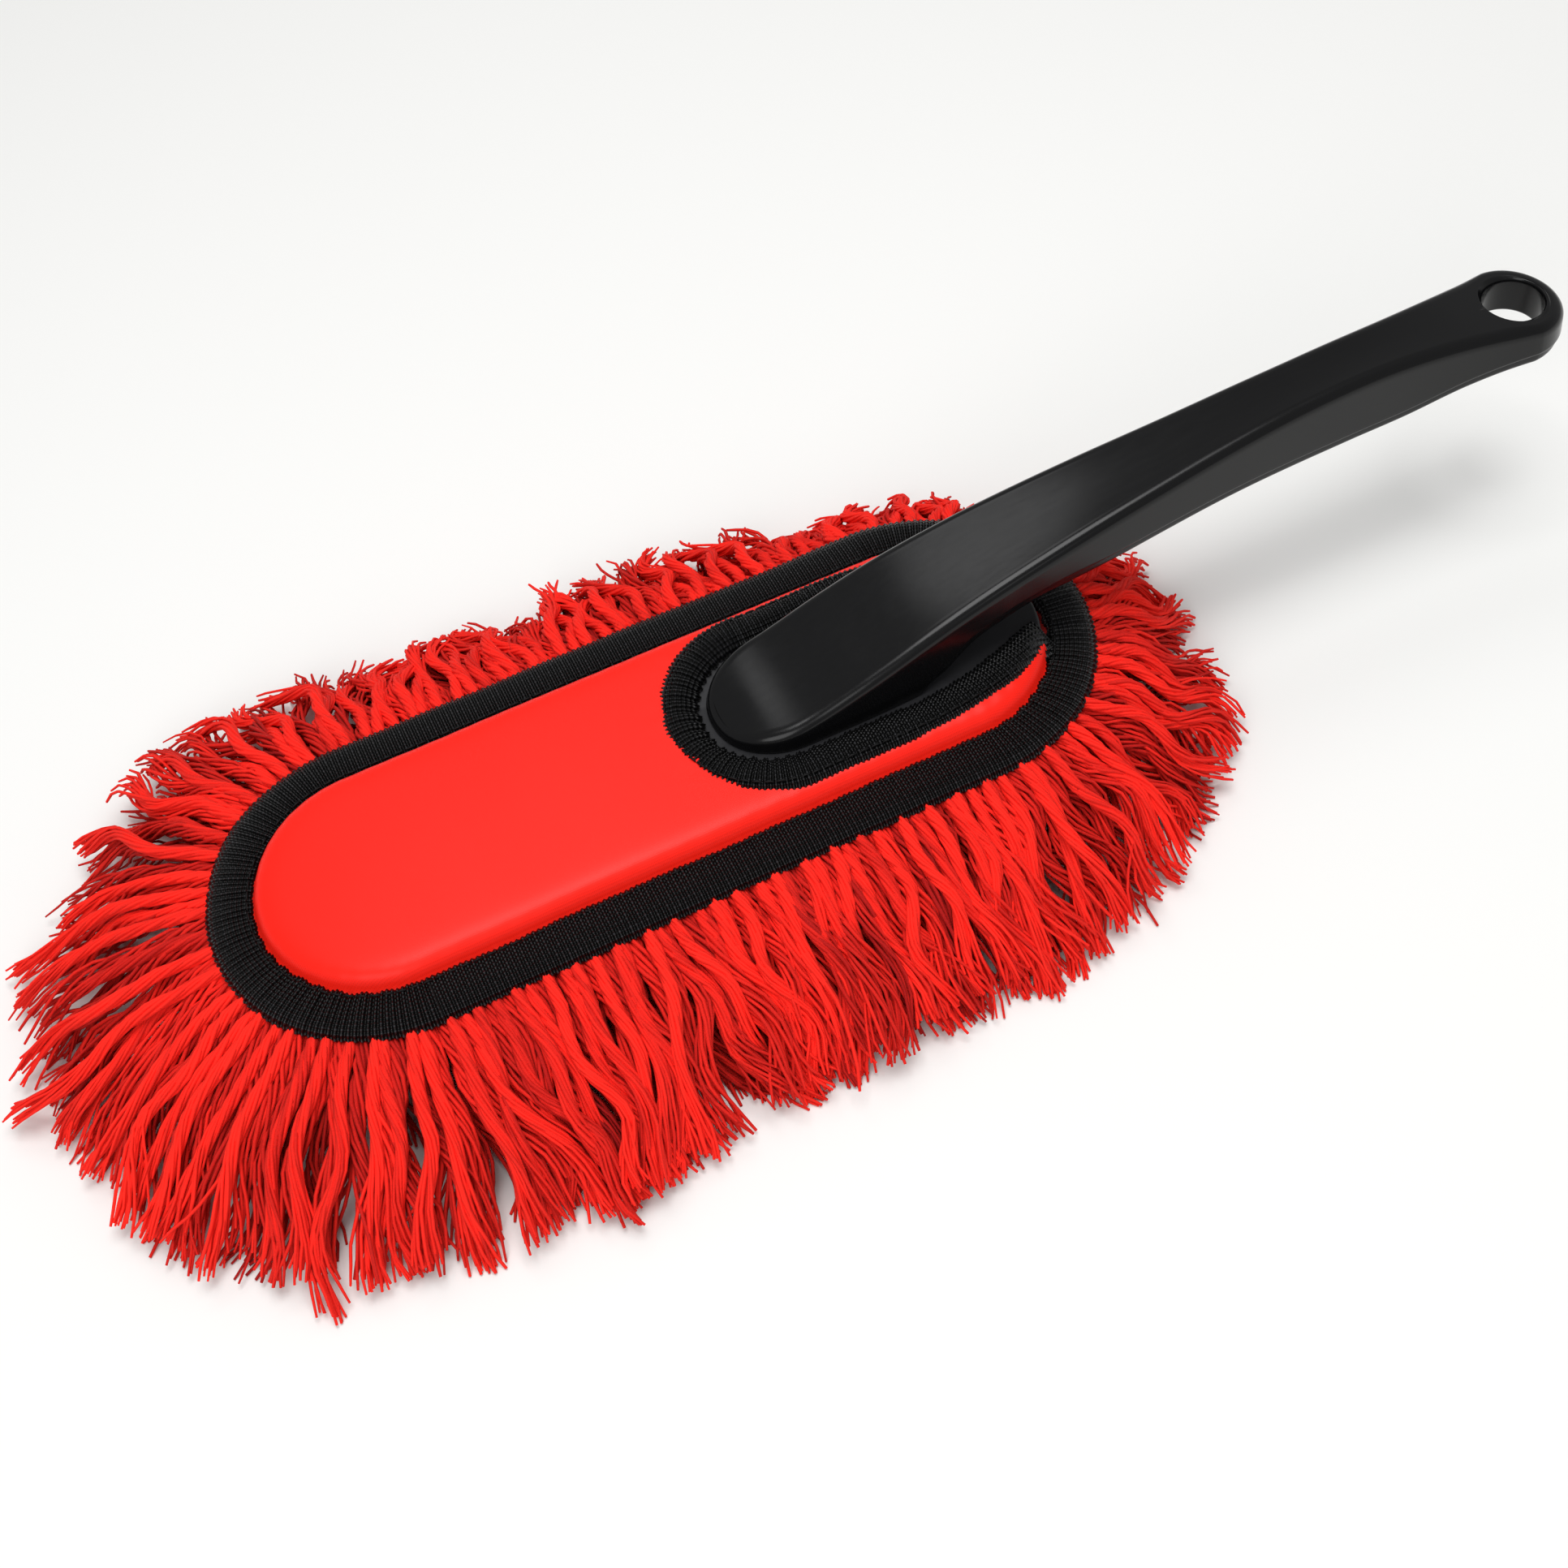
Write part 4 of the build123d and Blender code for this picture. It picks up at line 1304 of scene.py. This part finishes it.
@dataclass(frozen=True)
class StrandRow:
    """One row of cotton strands: where it is sewn on, and how its strands hang.

    A strand is a bundle of threads, twisted together at its root and loose at its tip.
    around holds the reach, as a share, at the near nose corner, the near handle corner, the
    handle's end, the far handle corner, the far nose corner and the nose end.
    """

    name: str
    nodes: tuple[str, ...]
    count: int
    seed: int
    root_radius: float           # from the head's middle segment
    root_z: float                # from the plane of the binding
    reach: float                 # how far the tips stand out beyond the root
    drop: float                  # how far the tips hang below the root
    arch: float = 2.0            # how late the strands turn down
    # Base of the threads' colour; the lower rows' smaller values are painted shade.
    tone_and_shade: float = 0.5
    threads: int = 12
    points: int = 16
    bundle: float = 1.42 * MM    # radius of the twisted bundle, to its outer threads' centres
    thread: float = 0.60 * MM    # radius of one thread at the root
    spread: float = 1.15         # how much wider the bundle is at its tip
    pull: float = 0.55           # how strongly strands gather in tufts
    turns: float = 2.3
    wave: float = 2.2 * MM       # sideways waves of a strand
    tuft_lean: float = 2.4 * MM  # how far a tuft leans to one side
    loosens: float = 0.55        # where along a strand its twist opens
    stray: float = 0.05          # share of threads that are cut short, and of those that stand off
    start: float = 0.0           # offset of the first strand, as a share of their pitch
    around: tuple[float, ...] = (1.0, 0.87, 0.62, 0.66, 0.95, 1.12)

    def tufts(self, rng: np.random.Generator) -> np.ndarray:
        """Number of the tuft that each strand hangs with."""
        sizes = rng.integers(2, 7, self.count)
        return np.repeat(np.arange(self.count), sizes)[:self.count]

    def grow(self, head: HeadShape) -> tuple[np.ndarray, np.ndarray, np.ndarray]:
        """Lay out every thread of the row.

        Args:
            head: The outline that the row follows.

        Returns:
            Positions by strand, thread and point; radii in the same order; the tones of the
            threads by strand and thread.
        """
        rng = np.random.default_rng(self.seed)
        n, m, p = self.count, self.threads, self.points
        length = head.length(self.root_radius)
        at = (np.arange(n) + self.start + rng.uniform(-0.2, 0.2, n)) / n * length
        middle_x, angle = head.walk(at, self.root_radius)
        tuft = self.tufts(rng)
        tuft_at = np.array([at[tuft == k].mean() if (tuft == k).any() else 0.0
                            for k in range(tuft.max() + 1)])
        tuft_lean = rng.normal(0, self.tuft_lean, len(tuft_at))
        tuft_reach = rng.normal(1, 0.05, len(tuft_at))
        tuft_drop = rng.normal(1, 0.09, len(tuft_at))
        side, bend = 2 * head.half_straight, math.pi * self.root_radius
        corners = np.array([0, side, side + bend / 2, side + bend, 2 * side + bend,
                            2 * side + 1.5 * bend, length])
        share = np.interp(np.mod(at, length), corners, self.around + self.around[:1])
        reach = self.reach * share
        reach = reach * tuft_reach[tuft] * rng.normal(1, 0.03, n)
        drop = self.drop * (1 + 0.18 * (1 - share)) * tuft_drop[tuft] * rng.normal(1, 0.05, n)
        arch = self.arch * (1 - 0.45 * np.clip(1 - share, 0, 1)) * rng.uniform(0.88, 1.15, n)
        lean = (tuft_at[tuft] - at) * self.pull + tuft_lean[tuft] + rng.normal(0, 1.0 * MM, n)
        neighbours = np.sin(at / length * math.tau * np.array([[7.0], [17.0], [29.0]])
                            + np.array([[1.0], [2.0], [4.0]])).sum(axis=0)
        waves = [(rng.uniform(0.4, 1.5, n) * self.wave * (1.5 - 0.5 * share),
                  rng.normal(1.35, 0.12, n), 1.4 * neighbours + rng.normal(0, 0.55, n) + lag)
                 for lag in (0.0, 2.1)]
        reachable = rng.uniform(0.965, 1.02, (n, m)) - 0.12 * (rng.random((n, m)) < self.stray)
        t = np.linspace(0, 1, p)[None, None, :] * reachable[:, :, None]

        def column(values: np.ndarray) -> np.ndarray:
            """One value for each strand, set up against threads and points."""
            return values[:, None, None]

        def axis(t: np.ndarray) -> np.ndarray:
            """Place the strands' middle lines.

            Args:
                t: Share of the way along, by strand, thread and point.

            Returns:
                Positions in the same order.
            """
            late = np.clip(t * 1.5, 0, 1) ** 2 * (3 - 2 * np.clip(t * 1.5, 0, 1))
            out = self.root_radius + column(reach) * (t + 0.10 * t * (1 - t))
            side = column(lean) * t ** 1.8
            size, beat, phase = waves[0]
            side = side + column(size) * late * np.sin(math.tau * column(beat) * t + column(phase))
            down = column(drop) * t ** column(arch)
            size, beat, phase = waves[1]
            down = down + 0.6 * column(size) * late * np.sin(
                math.tau * column(beat) * t + column(phase))
            cos, sin = column(np.cos(angle)), column(np.sin(angle))
            x = head.centre_x + column(middle_x) + cos * out - sin * side
            y = sin * out + cos * side
            z = head.plane_z + self.root_z - down
            return np.stack([x, y, z], axis=-1)

        centre = axis(t)
        ahead = axis(t + 0.02) - axis(np.maximum(t - 0.02, 0))
        ahead /= np.linalg.norm(ahead, axis=-1, keepdims=True)
        across = np.cross(ahead, (0.0, 0.0, 1.0))
        across /= np.linalg.norm(across, axis=-1, keepdims=True)
        over = np.cross(across, ahead)
        j = np.arange(m)
        ring = np.sqrt((j + 0.35) / m)[None, :, None] * rng.uniform(0.9, 1.1, (n, m, 1))
        loose = np.clip((t - self.loosens) / (1 - self.loosens), 0, 1)
        turn = (j * GOLDEN_ANGLE)[None, :, None] + column(rng.uniform(0, math.tau, n)) \
            + math.tau * self.turns * column(rng.uniform(0.85, 1.15, n)) * (t - 0.38 * t * t)
        pinch = 0.6 + 0.4 * np.clip(t * 9, 0, 1)     # squeezed under the tape
        size = self.bundle * ring * pinch * (1 + self.spread * loose ** 1.5)
        wander = rng.normal(0, 1.0, (2, n, m, 1)) * loose ** 1.5 * 1.2 * MM
        stand_off = 1 + 2.4 * (rng.random((n, m, 1)) < self.stray)
        kink = 0.30 * MM * loose * np.sin(t * 62 + rng.uniform(0, math.tau, (n, m, 1)))
        off_across = size * np.cos(turn) + wander[0] * stand_off + kink
        off_over = (size * np.sin(turn) + wander[1] * stand_off) * (1 - 0.3 * loose)
        places = centre + across * off_across[..., None] + over * off_over[..., None]
        radii = self.thread * rng.uniform(0.85, 1.15, (n, m, 1)) * (1 - 0.32 * t)
        radii[:, :, -1] *= 0.8
        places[..., 2] = np.maximum(places[..., 2], radii + 0.1 * MM)
        # Random tone of each strand and thread, on the row's base, which is painted shade on the
        # lower rows.
        tones = self.tone_and_shade + rng.normal(0, 0.10, (n, 1)) + rng.normal(0, 0.07, (n, m))
        return places, radii, tones

    def make(self, head: HeadShape, body: Body, material: bpy.types.Material) -> bpy.types.Object:
        """Build the row's threads as tubes and dress them.

        Args:
            head: The outline that the row follows.
            body: CAD body of the cover.
            material: The yarn's finish.

        Returns:
            The finished row.
        """
        places, radii, tones = self.grow(head)
        threads = places.reshape(-1, self.points, 3)
        radii = radii.reshape(-1, self.points)
        piece = tubes(self.name, threads, radii)
        mesh = piece.data
        corners = len(mesh.vertices) // threads[:, :, 0].size
        colours = np.ones((len(mesh.vertices), 4), np.float32)
        colours[:, 0] = np.repeat(tones.ravel(), self.points * corners)
        colours[:, 1] = np.tile(np.repeat(np.linspace(0, 1, self.points), corners), len(threads))
        layer = mesh.color_attributes.new("yarn", "FLOAT_COLOR", "POINT")
        layer.data.foreach_set("color", colours.ravel())
        return finish_piece(piece, body, material, self.nodes)


EVEN = (1.0,) * 6
SEAMS = (27.0 * MM, 17.0 * MM, 6.0 * MM)     # where the underside's rows are sewn on
# The under, lower and underside rows get smaller tones than the top rows: painted shade beneath them.
ROWS = (
    StrandRow("strands_edge_top", ("fringe_edge_upper",), 66, 101, 42.0 * MM, -0.7 * MM,
              53.0 * MM, 24.6 * MM, 2.05, 0.55, threads=16),
    StrandRow("strands_edge_between", (), 66, 107, 42.0 * MM, -1.3 * MM,
              52.0 * MM, 25.4 * MM, 1.9, 0.50, threads=16, start=0.5),
    StrandRow("strands_edge_under", (), 150, 102, 41.0 * MM, -2.6 * MM,
              51.0 * MM, 24.8 * MM, 1.7, 0.34, threads=10, points=14, bundle=2.3 * MM),
    StrandRow("strands_edge_lower", ("fringe_edge_lower",), 140, 103, 37.0 * MM, -3.2 * MM,
              50.0 * MM, 26.0 * MM, 1.4, 0.20, threads=10, points=14, bundle=2.5 * MM),
    StrandRow("strands_row_outer", ("fringe_row_outer",), 104, 104, SEAMS[0], -1.3 * MM,
              34.0 * MM, 26.0 * MM, 0.85, 0.22, threads=9, points=12, bundle=2.3 * MM,
              around=EVEN),
    StrandRow("strands_row_middle", ("fringe_row_middle",), 84, 105, SEAMS[1], -1.3 * MM,
              28.0 * MM, 26.5 * MM, 0.8, 0.22, threads=9, points=12, bundle=2.4 * MM,
              around=EVEN),
    StrandRow("strands_row_centre", ("fringe_row_centre",), 66, 106, SEAMS[2], -1.3 * MM,
              22.0 * MM, 27.0 * MM, 0.8, 0.22, threads=9, points=12, bundle=2.5 * MM,
              around=EVEN),
)


@dataclass(frozen=True)
class Lamp:
    """A round soft lamp that points at the origin; its place and size are in metres."""

    name: str
    place: tuple[float, float, float]
    size: float
    power: float


@dataclass(frozen=True)
class Studio:
    """Floor, lights and camera."""

    head: HeadShape
    elevation: float = math.radians(54.32)
    azimuth: float = math.radians(-17.52)
    roll: float = math.radians(-9.21)
    distance: float = 511.4 * MM
    aim_x: float = 24.8 * MM       # from the head's middle, in the plane of its binding
    aim_y: float = -21.6 * MM
    focal_length: float = 46.58    # for a 36 mm wide sensor
    surround: float = 0.38         # brightness of the even surround
    lamps: tuple[Lamp, ...] = (
        Lamp("overhead", (0.02, -0.06, 1.3), 0.8, 10.0),
        Lamp("front", (-0.7, -0.9, 0.8), 0.8, 5.0),
        Lamp("rear", (0.02, 0.74, 1.12), 0.46, 1.25),
        Lamp("edge", (0.22, -0.98, 0.76), 0.22, 0.16))

    def camera(self) -> None:
        """Set the camera up at the object's usual viewing angle, slightly rolled."""
        e, a = self.elevation, self.azimuth
        back = Vector((math.sin(a) * math.cos(e), -math.cos(a) * math.cos(e), math.sin(e)))
        right = Vector((math.cos(a), math.sin(a), 0))
        up = back.cross(right)
        c, s = math.cos(self.roll), math.sin(self.roll)
        axes = Matrix((c * right + s * up, -s * right + c * up, back)).transposed()
        data = bpy.data.cameras.new("studio_camera")
        data.lens, data.sensor_width = self.focal_length, 36.0
        data.clip_start, data.clip_end = 0.01, 20.0
        camera = bpy.data.objects.new("studio_camera", data)
        target = Vector((self.head.centre_x + self.aim_x, self.aim_y, self.head.plane_z))
        camera.matrix_world = Matrix.Translation(target + back * self.distance) @ axes.to_4x4()
        bpy.context.collection.objects.link(camera)
        bpy.context.scene.camera = camera

    def floor(self) -> None:
        """Lay the pale seamless floor."""
        bm = bmesh.new()
        bmesh.ops.create_grid(bm, x_segments=1, y_segments=1, size=6.0)
        floor = object_from(bm, "studio_floor", smooth=False)
        finish = Finish("studio_paper", "#F4F4F2", 0.9)
        floor.data.materials.append(finish.make())

    def lights(self) -> None:
        """Light the scene: an even surround, two wide soft lamps and two for the gloss."""
        world = bpy.data.worlds.new("studio_world")
        bpy.context.scene.world = world
        world.use_nodes = True
        background = world.node_tree.nodes["Background"]
        background.inputs["Color"].default_value = (1, 1, 1, 1)
        background.inputs["Strength"].default_value = self.surround
        for lamp in self.lamps:
            data = bpy.data.lights.new(lamp.name, "AREA")
            data.shape, data.size, data.energy = "DISK", lamp.size, lamp.power
            light = bpy.data.objects.new(lamp.name, data)
            light.location = lamp.place
            light.rotation_euler = (-Vector(lamp.place)).to_track_quat("-Z", "Y").to_euler()
            bpy.context.collection.objects.link(light)


@dataclass(frozen=True)
class Inside:
    """The paddle, the foam and the screws, whose CAD shapes are right and need only finishing."""

    nodes: dict[str, bpy.types.Object]
    rounding: float = 0.3 * MM           # of the sharp edges
    sharp: float = math.radians(35)      # edges that turn by more than this are rounded
    doubles: float = 0.005 * MM
    fill: float = 0.9                    # how tight the foam is under the panel

    def merged_copy(self, node: str, name: str) -> bpy.types.Object:
        """Copy a CAD piece's mesh and merge its doubled points, so that its faces join up.

        Args:
            node: The CAD piece, which is left alone.
            name: Name of the copy.

        Returns:
            The linked copy, with its sharp edges rounded a little.
        """
        bm = bmesh.new()
        bm.from_mesh(self.nodes[node].data)
        bmesh.ops.remove_doubles(bm, verts=bm.verts, dist=self.doubles)
        bmesh.ops.recalc_face_normals(bm, faces=bm.faces)
        piece = object_from(bm, name)
        bevel = piece.modifiers.new("rounding", "BEVEL")
        bevel.width, bevel.segments = self.rounding, 2
        bevel.limit_method, bevel.angle_limit = "ANGLE", self.sharp
        bevel.harden_normals = True
        return piece

    def paddle(self, material: bpy.types.Material) -> bpy.types.Object:
        """Moulded plate that the cover is pulled over."""
        return finish_piece(self.merged_copy("paddle", "paddle_moulding"), Body.HANDLE,
                            material, ("paddle",))

    def foam(self, material: bpy.types.Material) -> bpy.types.Object:
        """Thin layer of foam between the paddle and the top panel.

        Args:
            material: The foam's finish.

        Returns:
            The finished piece.
        """
        pad = finish_piece(self.merged_copy("foam_pad", "foam_layer"), Body.COVER, material,
                           ("foam_pad",))
        return pad

    def screws(self, material: bpy.types.Material) -> None:
        """Dress the CAD screws, which keep their shapes.

        Args:
            material: The plating.
        """
        for name in ("handle_screws", "paddle_screws"):
            slots = self.nodes[name].data.materials
            slots.clear()
            slots.append(material)
            LOG.info("%s: CAD shape kept", name)


def main() -> None:
    """Build every piece in order, then the studio."""
    head = HeadShape.from_frame()
    slot = SlotShape(head)
    cover = Cover(head, slot, TapeSize())
    handle = Handle(head)
    gloss = GLOSS_BLACK.make()
    handle.upper_shell(gloss)
    handle.lower_strip(gloss)
    inside = Inside(frame["nodes"])
    inside.paddle(MATT_BLACK.make())
    inside.foam(FOAM_PALE.make())
    inside.screws(ZINC.make())
    tape, thread = TAPE_BLACK.make(), THREAD_BLACK.make()
    panel = cover.top_panel(SATIN_RED.make())
    on_panel = [
        cover.edge_binding(tape), cover.slot_binding(tape), cover.slot_stitches(thread),
        cover.head_stitches("edge_stitches", (head.radius - cover.edge_stitch_inset,),
                            cover.edge_stitch_height, thread,
                            "edge_stitching")]
    backing = cover.backing_panel(CANVAS_RED.make())
    on_backing = [cover.head_stitches("row_stitches", SEAMS, 0.0,
                                      THREAD_RED.make(), "row_stitching")]
    cotton = COTTON_RED.make()
    on_backing += [row.make(head, cover.body, cotton) for row in ROWS]
    studio = Studio(head)
    studio.camera()
    studio.floor()
    studio.lights()
    bpy.context.scene.view_settings.view_transform = "Standard"


if __name__ == "__main__":
    logging.basicConfig(level=logging.INFO, format="%(message)s")
    main()
